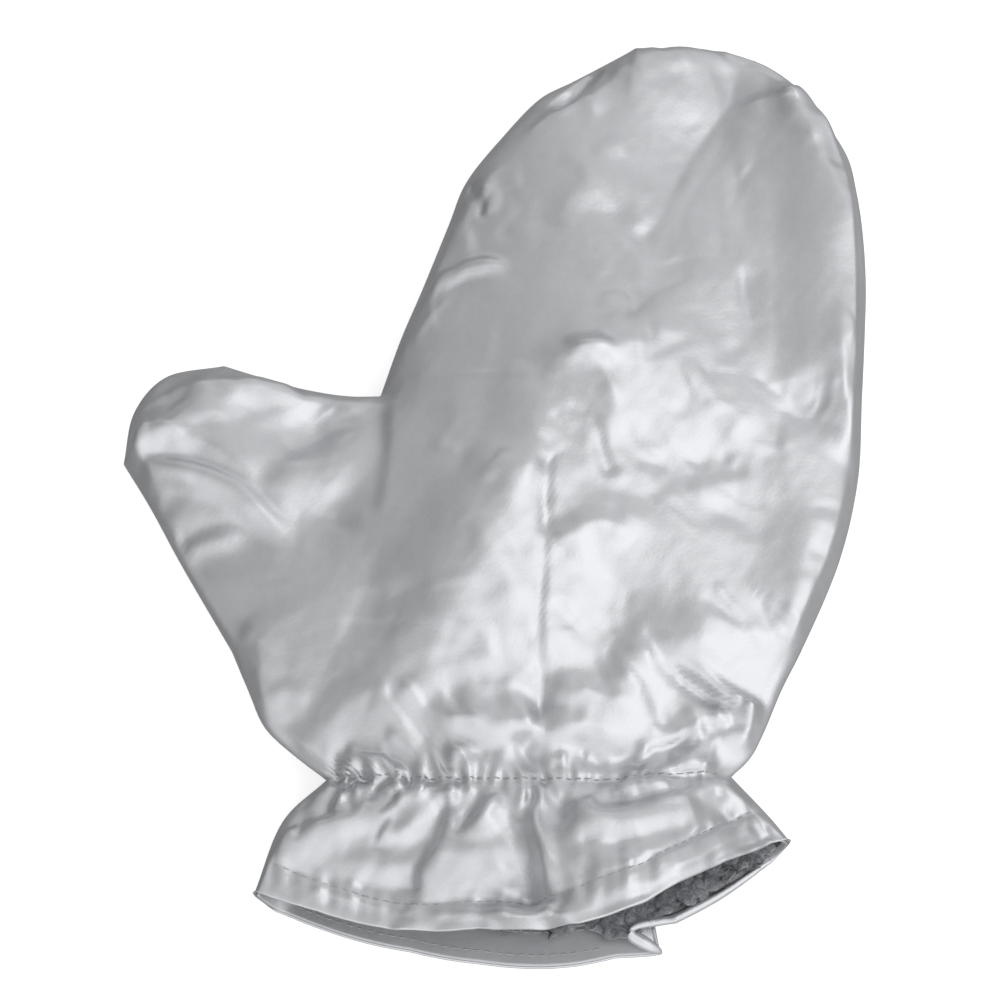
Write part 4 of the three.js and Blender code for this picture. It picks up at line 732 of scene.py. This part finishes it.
def random_creases(seed, count, low, high, lengths, heights, reaches):
    """Small creases scattered over a plan area, each a short bent line."""
    rng = np.random.default_rng(seed)
    creases = []
    for _ in range(count):
        middle = rng.uniform(low, high)
        length = rng.uniform(*lengths)
        angle = rng.uniform(0, 2 * math.pi)
        bend = rng.uniform(-0.5, 0.5)
        points = []
        for along in (-0.5, 0.0, 0.5):
            turned = angle + bend * along
            points.append(middle + length * along * np.array([math.cos(turned), math.sin(turned)]))
        height = rng.uniform(*heights) * rng.choice([-1, 1])
        left, right = rng.uniform(*reaches, 2)
        creases.append(("crease", points, height, left, right, rng.uniform(0.3, 1), 0.4, 0.4))
    return creases


TUCK_LENGTHS = {1: (5, 15), -1: (4, 13)}  # into the hand, and into the cuff
TUCK_HEIGHTS, TUCK_REACHES = (0.5, 1.9), (1.2, 2.9)
TUCK_LEAN = 0.35  # radians, at most
FLATTER = {"across": 0.6, "change": 0.08, "share": 0.7}  # the tucks are lower from there to the right


def gather_tucks(seed, count):
    """The small tucks that the elastic draws up on both sides of its stitch row."""
    rng = np.random.default_rng(seed)
    tucks = []
    for number in range(count):
        across = (number + rng.uniform(0.05, 0.95)) / count
        size = 1 - FLATTER["share"] * smooth((across - FLATTER["across"]) / FLATTER["change"])
        foot = plan(float(GATHER), across)[0]
        for side, lengths in TUCK_LENGTHS.items():
            lean = rng.uniform(-TUCK_LEAN, TUCK_LEAN)
            length = rng.uniform(*lengths)
            tip = foot + np.array([math.sin(lean), side * math.cos(lean)]) * length
            height = rng.uniform(*TUCK_HEIGHTS) * size
            left, right = rng.uniform(*TUCK_REACHES, 2)
            middle = (foot + tip) / 2 + rng.uniform(-0.4, 0.4, 2)
            tucks.append(("tuck", [foot, middle, tip], height, left, right, rng.uniform(0.5, 1.0), 0, 0.6))
    return tucks


BROAD_REACH = 6  # a fold that reaches further than this shapes the pieces inside too
BROAD_FOLDS = [fold for fold in FOLDS if max(fold[3], fold[4]) > BROAD_REACH]
NARROW_FOLDS = [fold for fold in FOLDS if max(fold[3], fold[4]) <= BROAD_REACH]
NARROW_FOLDS += random_creases(7, 150, (-105, -88), (108, 138), (7, 28), (0.12, 0.4), (1.4, 4.6))
NARROW_FOLDS += gather_tucks(11, 30)
NARROW_FOLDS += [("crease", [row[0:2], row[2:4], row[4:6]], *row[6:], CREASE_FADE, CREASE_FADE)
                 for row in CREASES]
NOISE_WAVES = 14


def noise_relief(p, size, seed):
    """A smooth random swell of about that size, from -1 to 1."""
    rng = np.random.default_rng(seed)
    relief = np.zeros(len(p))
    for _ in range(NOISE_WAVES):
        angle, phase = rng.uniform(0, 2 * math.pi, 2)
        wave = 2 * math.pi / (size * rng.uniform(0.7, 1.5))
        relief += np.sin((p[:, 0] * math.cos(angle) + p[:, 1] * math.sin(angle)) * wave + phase)
    return relief / NOISE_WAVES**0.5 / 1.5


HEM_GROOVE = {"depth": 0.6, "width": 1.1}
HEM_BAND = {"height": 0.35, "rise": 2.5, "width": 10.0, "fall": 3.0}
PUCKERS = {"below": 1.4, "width": 4.2}
HEM_END_ROW = GATHER - 0.4


def hem_relief(p, row, across):
    """The stitch row of the hem sinks in, and the band below it stands up in small cross puckers, made of
    uneven waves that are about 14, 8 and 5 mm long."""
    stitches_row = np.interp(across, HEM_STITCHES[:, 0], HEM_STITCHES[:, 1])
    beside = p[:, 1] - plan(stitches_row, across)[:, 1]
    groove = -HEM_GROOVE["depth"] * np.exp(-((beside / HEM_GROOVE["width"]) ** 2))
    x = p[:, 0]
    waves = 0.3 * np.sin(x / 2.3 + 0.8 * np.sin(x / 7.0)) + 0.24 * np.sin(x / 1.35 + 1.1)
    waves += 0.26 * np.sin(x / 0.74 + 1.6 * np.sin(x / 6.0)) * (0.7 + 0.3 * np.sin(x / 11.0))
    band = HEM_BAND["height"] * smooth(-beside / HEM_BAND["rise"])
    band *= smooth((beside + HEM_BAND["width"]) / HEM_BAND["fall"])
    puckers = waves * np.exp(-((beside + PUCKERS["below"]) / PUCKERS["width"]) ** 2)
    return np.where(row < HEM_END_ROW, groove + band + puckers, 0.0)


def broad_relief(p):
    relief = folds_relief(p, BROAD_FOLDS)
    for x, y, height in SWELLS:
        relief += height * np.exp(-((p[:, 0] - x) ** 2 + (p[:, 1] - y) ** 2) / SWELL_RADIUS**2)
    return relief


GATHER_GROOVE = {"depth": 1.6, "below": 0.4, "width": 1.3}  # in which the wrist's stitch row lies


def fine_relief(p, row, across):
    away = from_gather(p, row, across)
    relief = folds_relief(p, NARROW_FOLDS)
    relief += 0.16 * noise_relief(p, 15.0, 4) + 0.05 * noise_relief(p, 6.0, 5)
    groove = np.exp(-(((away + GATHER_GROOVE["below"]) / GATHER_GROOVE["width"]) ** 2))
    return relief - GATHER_GROOVE["depth"] * groove + hem_relief(p, row, across)


def front_place(p, row, across, fine):
    distance = edge_distance(p)
    relief = broad_relief(p)
    if fine:
        relief += fine_relief(p, row, across)
    lift = front_lift(p, row, across, distance) + relief * smooth(distance / SEAM_FADE)
    z = SEAM_HEIGHT + np.maximum(lift, LEAST_LIFT)
    y = p[:, 1] + mouth(across, 2) * towards_mouth(row)
    return np.stack([p[:, 0], y, z], axis=1)


def front_surface(p, row, across):
    return front_place(p, row, across, True)


def front_form(p, row, across):
    """The front with only its broad folds, for the pieces inside."""
    return front_place(p, row, across, False)


CLOTH_THICKNESS = 0.5
HEM_ROLL = 0.6  # radius of the fold at the hem
HEM_ROLL_STEPS = 9
CURLED = {"radius": 1.5, "turn": 0.4}  # by which share both grow where the edge curls up fully
ROLL_END = 0.05  # across over which the fold tightens at both side seams, down to ROLL_END_SHARE
ROLL_END_SHARE = 0.1


def add_wall(obj, thickness):
    """Gives a sheet its thickness in millimetres, inwards from its outer face."""
    wall = obj.modifiers.new("wall", "SOLIDIFY")
    wall.thickness = thickness * MM
    wall.offset = -1.0


def rolled_hem(surface, outward, curl):
    """Takes a surface and adds the turn at the hem: row numbers from 0 down to -1 go round the fold, and end
    inside the cuff. outward is 1 for the front and -1 for the back. curl gives for each across how much
    more the edge rolls up there, from 0 to 1."""
    def rolled(p, row, across):
        places = surface(p, np.maximum(row, 0.0), across)
        turning = row < 0
        if turning.any():
            edge = across[turning]
            hem, inner = np.zeros(turning.sum()), np.full(turning.sum(), 0.04)
            at_hem = surface(plan(hem, edge), hem, edge)
            further = surface(plan(inner, edge), inner, edge)
            run = at_hem - further
            run /= np.linalg.norm(run, axis=1)[:, None]
            up = np.cross(run, np.array([1.0, 0.0, 0.0]))
            up *= np.sign(up[:, 2:3]) * outward
            more = curl(edge)[:, None]
            turn = -row[turning][:, None] * math.pi * (1 + CURLED["turn"] * more)
            inside = smooth(np.minimum(edge, 1 - edge) / ROLL_END)[:, None]
            at_ends = ROLL_END_SHARE + (1 - ROLL_END_SHARE) * inside
            radius = HEM_ROLL * (1 + CURLED["radius"] * more) * at_ends
            places[turning] = at_hem + radius * (np.sin(turn) * run - (1 - np.cos(turn)) * up)
        return places
    return rolled


def thumb_columns(count):
    """Numbers from 0 at the thumb's base to 1 at its end, closer together there."""
    return 1 - (1 - np.linspace(0, 1, count)) ** 1.5


roll_rows = np.linspace(-1, 0, HEM_ROLL_STEPS, endpoint=False)
front_rows = np.concatenate([roll_rows, row_numbers(0.0, 1.3)])
front_panel = cut_grid(front_rows, closing(184, 0.6), thumb_columns(54),
                       rolled_hem(front_surface, 1, np.zeros_like), "front_panel_cloth")
add_wall(front_panel, CLOTH_THICKNESS)


def maths(tree, operation, a, b):
    """The output of a new Math node on two values or outputs."""
    node = tree.nodes.new("ShaderNodeMath")
    node.operation = operation
    for socket, value in zip(node.inputs, (a, b)):
        if isinstance(value, (int, float)):
            socket.default_value = value
        else:
            tree.links.new(value, socket)
    return node.outputs[0]


def set_inputs(node, values):
    for socket, value in values.items():
        node.inputs[socket].default_value = value


THREAD_ANGLES = (38, -52)  # of the weave, in degrees


def weave_group():
    """The grain of the woven coated cloth: diagonal threads and a fine mottling, as a bump height, with the
    uneven coating as a colour and a roughness."""
    tree = bpy.data.node_groups.new("woven_coating", "ShaderNodeTree")
    for name, kind, value in (("Colour", "NodeSocketColor", (0.7, 0.7, 0.7, 1)),
                              ("Roughness", "NodeSocketFloat", 0.4), ("Unevenness", "NodeSocketFloat", 1.0)):
        tree.interface.new_socket(name=name, in_out="INPUT", socket_type=kind).default_value = value
    for name, kind in (("Colour", "NodeSocketColor"), ("Roughness", "NodeSocketFloat"),
                       ("Height", "NodeSocketFloat")):
        tree.interface.new_socket(name=name, in_out="OUTPUT", socket_type=kind)
    nodes, links = tree.nodes, tree.links
    given = nodes.new("NodeGroupInput")
    result = nodes.new("NodeGroupOutput")
    coordinates = nodes.new("ShaderNodeTexCoord")

    def noise(scale, detail, distortion=0.0):
        node = nodes.new("ShaderNodeTexNoise")
        set_inputs(node, {"Scale": scale, "Detail": detail, "Distortion": distortion})
        links.new(coordinates.outputs["Object"], node.inputs["Vector"])
        return node.outputs["Fac"]

    def threads(angle):
        turned = nodes.new("ShaderNodeMapping")
        turned.inputs["Rotation"].default_value = (0, 0, math.radians(angle))
        links.new(coordinates.outputs["Object"], turned.inputs["Vector"])
        wave = nodes.new("ShaderNodeTexWave")
        set_inputs(wave, {"Scale": 430, "Distortion": 1.2, "Detail": 1.0, "Detail Scale": 1.5})
        links.new(turned.outputs["Vector"], wave.inputs["Vector"])
        return wave.outputs["Fac"]

    cross = maths(tree, "MULTIPLY", threads(THREAD_ANGLES[0]), threads(THREAD_ANGLES[1]))
    mottling = maths(tree, "MULTIPLY", noise(900, 3), 0.6)
    links.new(maths(tree, "ADD", maths(tree, "MULTIPLY", cross, 0.16), mottling), result.inputs["Height"])

    large_patches = maths(tree, "MULTIPLY", noise(38, 4, 0.6), 0.6)
    patches = maths(tree, "ADD", large_patches, maths(tree, "MULTIPLY", noise(420, 4), 0.4))
    swing = maths(tree, "MULTIPLY", maths(tree, "SUBTRACT", patches, 0.5), given.outputs["Unevenness"])
    roughness = maths(tree, "ADD", given.outputs["Roughness"], maths(tree, "MULTIPLY", swing, 0.28))
    links.new(roughness, result.inputs["Roughness"])
    brightness = maths(tree, "ADD", maths(tree, "MULTIPLY", swing, 0.22), 1.0)
    shade = nodes.new("ShaderNodeVectorMath")
    shade.operation = "SCALE"
    links.new(given.outputs["Colour"], shade.inputs[0])
    links.new(brightness, shade.inputs["Scale"])
    links.new(shade.outputs["Vector"], result.inputs["Colour"])
    return tree


def new_material(name, values):
    """A material with those values on its shader, then its nodes, its links and the shader itself."""
    material = bpy.data.materials.new(name)
    material.use_nodes = True
    nodes, links = material.node_tree.nodes, material.node_tree.links
    shader = nodes["Principled BSDF"]
    set_inputs(shader, values)
    return material, nodes, links, shader


def add_bump(nodes, links, height, strength, distance):
    bump = nodes.new("ShaderNodeBump")
    set_inputs(bump, {"Strength": strength, "Distance": distance})
    links.new(height, bump.inputs["Height"])
    links.new(bump.outputs["Normal"], nodes["Principled BSDF"].inputs["Normal"])


def coated_cloth(name, colour, roughness, metallic, grain_depth):
    material, nodes, links, shader = new_material(name, {"Metallic": metallic})
    coating = nodes.new("ShaderNodeGroup")
    coating.node_tree = woven_coating
    set_inputs(coating, {"Colour": colour, "Roughness": roughness})
    links.new(coating.outputs["Colour"], shader.inputs["Base Color"])
    links.new(coating.outputs["Roughness"], shader.inputs["Roughness"])
    add_bump(nodes, links, coating.outputs["Height"], 0.35, grain_depth)
    return material


STITCH_LENGTH, STITCH_PITCH, STITCH_RADIUS = 2.2, 3.0, 0.21
STITCHES_RAISED = 0.08  # middle of a stitch above the cloth
STITCH_LINE_POINTS = 600
BESIDE = 0.03  # row numbers to the point that gives the cloth's slope beside a stitch


def stitch_row(name, surface, rows, raised):
    """Machine stitches along a line of (row, across) points of a surface, as one piece."""
    fine = np.linspace(0, len(rows) - 1, STITCH_LINE_POINTS)
    row = np.interp(fine, np.arange(len(rows)), [r for r, a in rows])
    across = np.interp(fine, np.arange(len(rows)), [a for r, a in rows])
    line = surface(plan(row, across), row, across)
    beside = surface(plan(row + BESIDE, across), row + BESIDE, across)
    far = np.concatenate([[0], np.cumsum(np.linalg.norm(np.diff(line, axis=0), axis=1))])
    bm = bmesh.new()
    for at in np.arange(STITCH_PITCH / 2, far[-1] - STITCH_PITCH / 2, STITCH_PITCH):
        a, middle, b = (np.array([np.interp(at + step, far, line[:, k]) for k in range(3)])
                        for step in (-STITCH_LENGTH / 2, 0, STITCH_LENGTH / 2))
        side = np.array([np.interp(at, far, beside[:, k]) for k in range(3)]) - middle
        run = Vector(b - a).normalized()
        up = run.cross(Vector(side)).normalized()
        made = bmesh.ops.create_uvsphere(bm, u_segments=6, v_segments=5, radius=1.0)["verts"]
        across_run = up.cross(run)
        for vert in made:
            co = vert.co
            place = Vector(middle) + up * raised + run * (co.z * STITCH_LENGTH / 2)
            place += across_run * (co.x * STITCH_RADIUS) + up * (co.y * STITCH_RADIUS)
            vert.co = place * MM
    bmesh.ops.recalc_face_normals(bm, faces=bm.faces)
    obj = new_object(name, bm, True)
    obj.data.materials.append(thread)
    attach(obj, "root")
    return obj


woven_coating = weave_group()
thread = new_material("grey_thread", {"Base Color": (0.4, 0.4, 0.41, 1), "Roughness": 0.6})[0]
silver_cloth = coated_cloth("silver_coated_cloth", (0.66, 0.665, 0.68, 1), 0.4, 0.9, 0.00025)
front_panel.data.materials.append(silver_cloth)
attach(front_panel, "root")
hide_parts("front_panel")

hem_line = [(np.interp(a, HEM_STITCHES[:, 0], HEM_STITCHES[:, 1]), a) for a in np.linspace(0.015, 0.985, 40)]
hem_stitches = stitch_row("front_hem_stitches", front_surface, hem_line, STITCHES_RAISED)
gather_line = [(GATHER_STITCH_ROW, a) for a in np.linspace(0.02, 0.98, 40)]
gather_stitches = stitch_row("wrist_stitches", front_surface, gather_line, STITCHES_RAISED)


# Back panel: the same cut of coated cloth for the back, sewn to the front all round and lying flat on the
# surface. Its cuff has a pleat folded in at the right, which lifts the hem there and turns its edge up.

FLOOR_ROUNDING = 15.0  # width of the side between the seam and the flat back
BACK_SQUEEZE, BACK_REACH = 0.2, 30.0  # share of the depth that the elastic takes away, and how far along
BACK_GATHERS = {"count": 7, "height": 1.3, "reach": 14.0}
PLEAT = {"x": 40.0, "half": 8.0, "back": 14.0, "height": 4.6, "tail": 42.0, "tail_share": 0.45}


def pleat_share(row):
    return np.clip(1 - row / GATHER, 0, 1)


def back_drop(p, row, across, distance):
    """Depth of the back below the seam, without the pleat."""
    away = from_gather(p, row, across)
    squeeze = 1 - BACK_SQUEEZE * smooth(1 - np.abs(away) / BACK_REACH)
    inward = np.clip(distance / FLOOR_ROUNDING, 0, 1)
    drop = SEAM_HEIGHT * np.sqrt(1 - (1 - inward) ** 2) * squeeze
    wave = 0.5 - 0.5 * np.cos(2 * math.pi * BACK_GATHERS["count"] * across)
    gathers = BACK_GATHERS["height"] * wave * smooth(1 - np.abs(away) / BACK_GATHERS["reach"]) * inward
    return np.minimum(drop + gathers, SEAM_HEIGHT - LEAST_LIFT), inward


# On the back every crease stands into the mitt
BACK_CREASES = [(*crease[:2], abs(crease[2]), *crease[3:]) for crease in
                random_creases(23, 70, (-105, -88), (108, 138), (12, 45), (0.3, 1.1), (2.5, 8.0))]


def back_form(p, row, across):
    """The back without its pleat, for the pieces inside."""
    distance = edge_distance(p)
    drop, inward = back_drop(p, row, across, distance)
    rise = PLEAT["height"] * smooth((p[:, 0] - PLEAT["x"] + PLEAT["half"]) / (2 * PLEAT["half"]))
    z = SEAM_HEIGHT - np.maximum(drop, LEAST_LIFT) + rise * PLEAT["tail_share"] * pleat_share(row) * inward
    return np.stack([p[:, 0], p[:, 1] + mouth(across, 3) * towards_mouth(row), z], axis=1)


def back_surface(p, row, across):
    """The back with its creases, and the pleat in which the cloth turns back and forth in a Z."""
    distance = edge_distance(p)
    drop, inward = back_drop(p, row, across, distance)
    drop = drop - folds_relief(p, BACK_CREASES) * smooth(distance / SEAM_FADE)
    t = np.clip((p[:, 0] - PLEAT["x"]) / PLEAT["half"], -1, 1)
    share = pleat_share(row)
    there_and_back = (PLEAT["half"] + PLEAT["back"]) * t**3 - PLEAT["back"] * t - PLEAT["half"] * t
    beyond = np.clip((p[:, 0] - PLEAT["x"]) / PLEAT["tail"], 0, 1)
    rise = PLEAT["height"] * smooth((t + 0.8) / 1.6) * (1 - (1 - PLEAT["tail_share"]) * beyond)
    z = SEAM_HEIGHT - np.maximum(drop, LEAST_LIFT) + rise * share * inward
    x = p[:, 0] + there_and_back * share
    y = p[:, 1] + mouth(across, 3) * towards_mouth(row)
    return np.stack([x, y, z], axis=1)


def back_curl(across):
    """The edge right of the pleat stands up in a roll."""
    return smooth((across - 0.70) / 0.03) * (1 - 0.6 * smooth((across - 0.8) / 0.2))


PLEAT_ACROSS = (0.66, 0.80)  # where the columns lie closer together
SIDE_CLOSING = 0.72  # how much the columns close up towards the side seams
back_columns = closing(96, SIDE_CLOSING)
beside_pleat = back_columns[(back_columns < PLEAT_ACROSS[0]) | (back_columns > PLEAT_ACROSS[1])]
back_columns = np.sort(np.concatenate([beside_pleat, np.linspace(*PLEAT_ACROSS, 60)]))
back_rows = np.concatenate([roll_rows, row_numbers(0.0, 2.2)])
back_panel = cut_grid(back_rows, back_columns, thumb_columns(34), rolled_hem(back_surface, -1, back_curl),
                      "back_panel_cloth")
add_wall(back_panel, CLOTH_THICKNESS)
back_panel.data.materials.append(silver_cloth)
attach(back_panel, "root")
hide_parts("back_panel")


# Hem facing: the turned-in edge of the same coated cloth inside the cuff's mouth, on both panels. It is
# folded over at the hem and stitched down by the rows near its edge.

FACING_END = 0.42  # row number at which it ends
FACING_INSET = 2 * HEM_ROLL - CLOTH_THICKNESS
BACK_STITCH_RAISE = 2 * HEM_ROLL + 0.05


def inset_along_normals(obj, distance, wall_thickness, outward):
    """Moves a sheet inwards by that distance in millimetres and gives it a wall. outward is 1 where its
    outer side faces up and -1 where it faces down."""
    if sum(face.normal.z * face.area for face in obj.data.polygons) * outward < 0:
        obj.data.flip_normals()
    normals = np.array([v.normal for v in obj.data.vertices])
    for vert, normal in zip(obj.data.vertices, normals):
        vert.co -= Vector(normal) * distance * MM
    add_wall(obj, wall_thickness)


def narrowed(surface, rows_share):
    """The surface with its rows drawn towards the hem, by a share that changes across."""
    def drawn(p, row, across):
        new_row = row * rows_share(across)
        return surface(plan(new_row, across), new_row, across)
    return drawn


def facing_share(across):
    """The back facing is half as wide right of the pleat."""
    return 1 - 0.5 * smooth((across - 0.64) / 0.1)


# The facing is the same coated cloth, but its colour is darker than the silver cloth's: painted shade for the
# inside of the mouth
facing_cloth = coated_cloth("facing_cloth", (0.6, 0.605, 0.62, 1), 0.48, 0.8, 0.0002)
facing_rows = np.linspace(0, FACING_END, 14)
facing_front = cut_grid(facing_rows, closing(90, SIDE_CLOSING), None, front_surface, "hem_facing_front")
facing_back = cut_grid(facing_rows, back_columns, None, narrowed(back_surface, facing_share),
                       "hem_facing_back")
for facing, outward in ((facing_front, 1), (facing_back, -1)):
    inset_along_normals(facing, FACING_INSET, CLOTH_THICKNESS, outward)
    facing.data.materials.append(facing_cloth)
    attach(facing, "root")
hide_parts("hem_facing")
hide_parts("hem_facing")


def inside_back(p, row, across):
    """The face of the back facing, on which its stitches lie."""
    return back_surface(p, row, across) + np.array([0.0, 0.0, BACK_STITCH_RAISE])


edge_stitches = stitch_row("back_hem_stitches", inside_back,
                           [(0.125, a) for a in np.linspace(0.03, 0.66, 30)], 0.0)
facing_stitches = stitch_row("back_facing_stitches", inside_back,
                             [(0.37, a) for a in np.linspace(0.03, 0.64, 30)], 0.0)


# Wrist elastic: a tape of ribbed woven elastic round the inside of the wrist, sewn to the cloth while
# stretched, which draws both panels in at the gather line.

ELASTIC_ROWS = (1.55, 2.75)
ELASTIC_INSET, ELASTIC_THICKNESS = 3.1, 0.9


def elastic_material():
    material, nodes, links, shader = new_material("woven_elastic", {"Roughness": 0.8})
    shader.inputs["Base Color"].default_value = (0.68, 0.68, 0.66, 1)
    coordinates = nodes.new("ShaderNodeTexCoord")
    ribs = nodes.new("ShaderNodeTexWave")
    ribs.inputs["Scale"].default_value = 260
    links.new(coordinates.outputs["Object"], ribs.inputs["Vector"])
    add_bump(nodes, links, ribs.outputs["Fac"], 0.5, 0.0003)
    return material


elastic = elastic_material()
elastic_rows = np.linspace(*ELASTIC_ROWS, 9)
for name, form, rests, outward in (("wrist_elastic_front", front_form, "front_lining_felt", 1),
                                   ("wrist_elastic_back", back_form, "back_panel_cloth", -1)):
    tape = cut_grid(elastic_rows, closing(70, SIDE_CLOSING), None, form, name)
    inset_along_normals(tape, ELASTIC_INSET, ELASTIC_THICKNESS, outward)
    tape.data.materials.append(elastic)
    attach(tape, "root")
    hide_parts("wrist_elastic")


# Linings: a layer of grey needle felt inside each panel, cut like it and sewn into the side seam and under
# the facing. The back one shows in the mouth, with its tufts and loose fibres.

FELT_THICKNESS, FELT_INSET = 1.6, 4.2
FELT_SHADES = ((0.32, (0.055, 0.057, 0.066, 1)), (0.68, (0.36, 0.365, 0.385, 1)))


def felt_material():
    material, nodes, links, shader = new_material("grey_needle_felt", {
        "Roughness": 0.95, "Sheen Weight": 0.4, "Sheen Roughness": 0.5})
    coordinates = nodes.new("ShaderNodeTexCoord")
    clumps = nodes.new("ShaderNodeTexNoise")
    set_inputs(clumps, {"Scale": 330, "Detail": 6, "Roughness": 0.7, "Distortion": 1.5})
    links.new(coordinates.outputs["Object"], clumps.inputs["Vector"])
    shades = nodes.new("ShaderNodeValToRGB")
    for element, (position, colour) in zip(shades.color_ramp.elements, FELT_SHADES):
        element.position, element.color = position, colour
    links.new(clumps.outputs["Fac"], shades.inputs["Fac"])
    links.new(shades.outputs["Color"], shader.inputs["Base Color"])
    add_bump(nodes, links, clumps.outputs["Fac"], 0.9, 0.0008)
    return material


FELT_START, FELT_RIGHT_START = 0.36, 0.15  # row numbers of the felt's edge, and of the same at the right


def back_felt_form(p, row, across):
    """The back's form with tufts, and its edge nearer to the hem right of the pleat."""
    nearer = (FELT_START - FELT_RIGHT_START) * smooth((across - 0.6) / 0.1)
    new_row = row - nearer * np.clip(1 - (row - FELT_START) / 1.2, 0, 1)
    in_cuff = row < GATHER
    p = np.where(in_cuff[:, None], plan(new_row, across), p)
    places = back_form(p, np.where(in_cuff, new_row, row), across)
    tufts = 0.5 * noise_relief(places, 3.2, 31) + 0.4 * noise_relief(places, 9.0, 32)
    places[:, 2] -= np.where(in_cuff, tufts, 0)
    return places


FIBRE_LENGTHS = (1.2, 3.2)


def felt_fuzz(name, surface, count, rows, acrosses, raised, seed):
    """Short loose fibres standing on a felt face, as one piece."""
    rng = np.random.default_rng(seed)
    row, across = rng.uniform(*rows, count), rng.uniform(*acrosses, count)
    feet = surface(plan(row, across), row, across) + np.array([0.0, 0.0, raised])
    bm = bmesh.new()
    for foot in feet:
        made = bmesh.ops.create_cone(bm, cap_ends=True, segments=3, radius1=0.07, radius2=0.03,
                                     depth=rng.uniform(*FIBRE_LENGTHS))["verts"]
        lean = Vector((rng.uniform(-1, 1), rng.uniform(-1, 1), rng.uniform(-0.1, 0.45)))
        turn = lean.to_track_quat("Z", "Y")
        bend = rng.uniform(-0.5, 0.5)
        for vert in made:
            place = turn @ (vert.co + Vector((bend * vert.co.z**2, 0, 0))) + Vector(foot)
            vert.co = place * MM
    bmesh.ops.recalc_face_normals(bm, faces=bm.faces)
    obj = new_object(name, bm, False)
    obj.data.materials.append(felt)
    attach(obj, "root")
    return obj


felt = felt_material()
felt_thumb = 1 - (1 - np.linspace(0, 1, 20)) ** 1.4
front_lining = cut_grid(row_numbers(0.8, 3.5), closing(50, 0.6), felt_thumb, front_form, "front_lining_felt")
back_felt_rows = row_numbers(FELT_START, 3.5)
back_felt_rows = np.unique(np.concatenate([back_felt_rows, np.linspace(FELT_START, 1.6, 34)]))
back_lining = cut_grid(back_felt_rows, closing(130, 0.5), felt_thumb, back_felt_form, "back_lining_felt")
fuzz = felt_fuzz("back_felt_fuzz", back_felt_form, 1500, (FELT_START, 1.3), (0.35, 0.97),
                 FELT_INSET + FELT_THICKNESS, 41)
for lining, node, outward in ((front_lining, "front_lining", 1), (back_lining, "back_lining", -1)):
    inset_along_normals(lining, FELT_INSET, FELT_THICKNESS, outward)
    lining.data.materials.append(felt)
    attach(lining, "root")
    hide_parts(node)


# Floor, light and camera: a white floor that glows faintly, so that it stays white under the mitt, a sky like
# the bright walls of a photo studio, one soft lamp at the right, and a long lens that looks down at the mitt
# from the side of its cuff.

FLOOR_SIZE = 3.0
floor_bm = bmesh.new()
bmesh.ops.create_grid(floor_bm, x_segments=1, y_segments=1, size=FLOOR_SIZE)
floor = new_object("floor", floor_bm, False)
floor.data.materials.append(new_material("floor_white", {
    "Base Color": (0.9, 0.9, 0.9, 1), "Roughness": 0.9, "Emission Color": (1, 1, 1, 1),
    "Emission Strength": 0.55})[0])
floor.visible_glossy = False

SKY_LEVEL = 0.60  # brightness towards SKY_DARKEST_Y, and how it grows to the right and to both ends
SKY_RIGHT = 0.26
SKY_ENDS = 0.5
SKY_DARKEST_Y = 0.38

world = bpy.data.worlds.new("studio")
bpy.context.scene.world = world
world.use_nodes = True
sky = world.node_tree
sky_nodes, sky_links = sky.nodes, sky.links
direction = sky_nodes.new("ShaderNodeTexCoord")
heights = sky_nodes.new("ShaderNodeSeparateXYZ")
sky_links.new(direction.outputs["Generated"], heights.inputs[0])
from_darkest = maths(sky, "SUBTRACT", heights.outputs["Y"], SKY_DARKEST_Y)
ends = maths(sky, "MULTIPLY", maths(sky, "MULTIPLY", from_darkest, from_darkest), SKY_ENDS)
to_right = maths(sky, "MULTIPLY", heights.outputs["X"], SKY_RIGHT)
sky_level = maths(sky, "ADD", maths(sky, "ADD", ends, to_right), SKY_LEVEL)
horizon = sky_nodes.new("ShaderNodeMapRange")
horizon.interpolation_type = "SMOOTHSTEP"
set_inputs(horizon, {"From Min": -0.15, "From Max": 0.3, "To Min": 0.45, "To Max": 1.0})
sky_links.new(heights.outputs["Z"], horizon.inputs["Value"])
sky_brightness = maths(sky, "MULTIPLY", sky_level, horizon.outputs["Result"])
background = sky_nodes["Background"]
background.inputs["Color"].default_value = (0.985, 0.99, 1.0, 1)
sky_links.new(sky_brightness, background.inputs["Strength"])


def aimed(name, data, place, target):
    """A lamp or camera at a place, looking at another."""
    obj = bpy.data.objects.new(name, data)
    obj.location = place
    obj.rotation_euler = (Vector(target) - obj.location).to_track_quat("-Z", "Y").to_euler()
    bpy.context.scene.collection.objects.link(obj)
    return obj


lamp = bpy.data.lights.new("key_right", "AREA")
lamp.shape = "RECTANGLE"
lamp.size, lamp.size_y = 1.2, 1.2
lamp.energy = 2.9
aimed("key_right", lamp, (0.85, -0.1, 1.0), (0, 0, 0))
bpy.context.scene.view_settings.view_transform = "Standard"

camera_data = bpy.data.cameras.new("camera")
camera_data.lens, camera_data.sensor_width = 100, 36
camera = aimed("camera", camera_data, (0.0002, -0.30967, 0.75965), (0.0002, -0.0076, 0.012))
bpy.context.scene.camera = camera
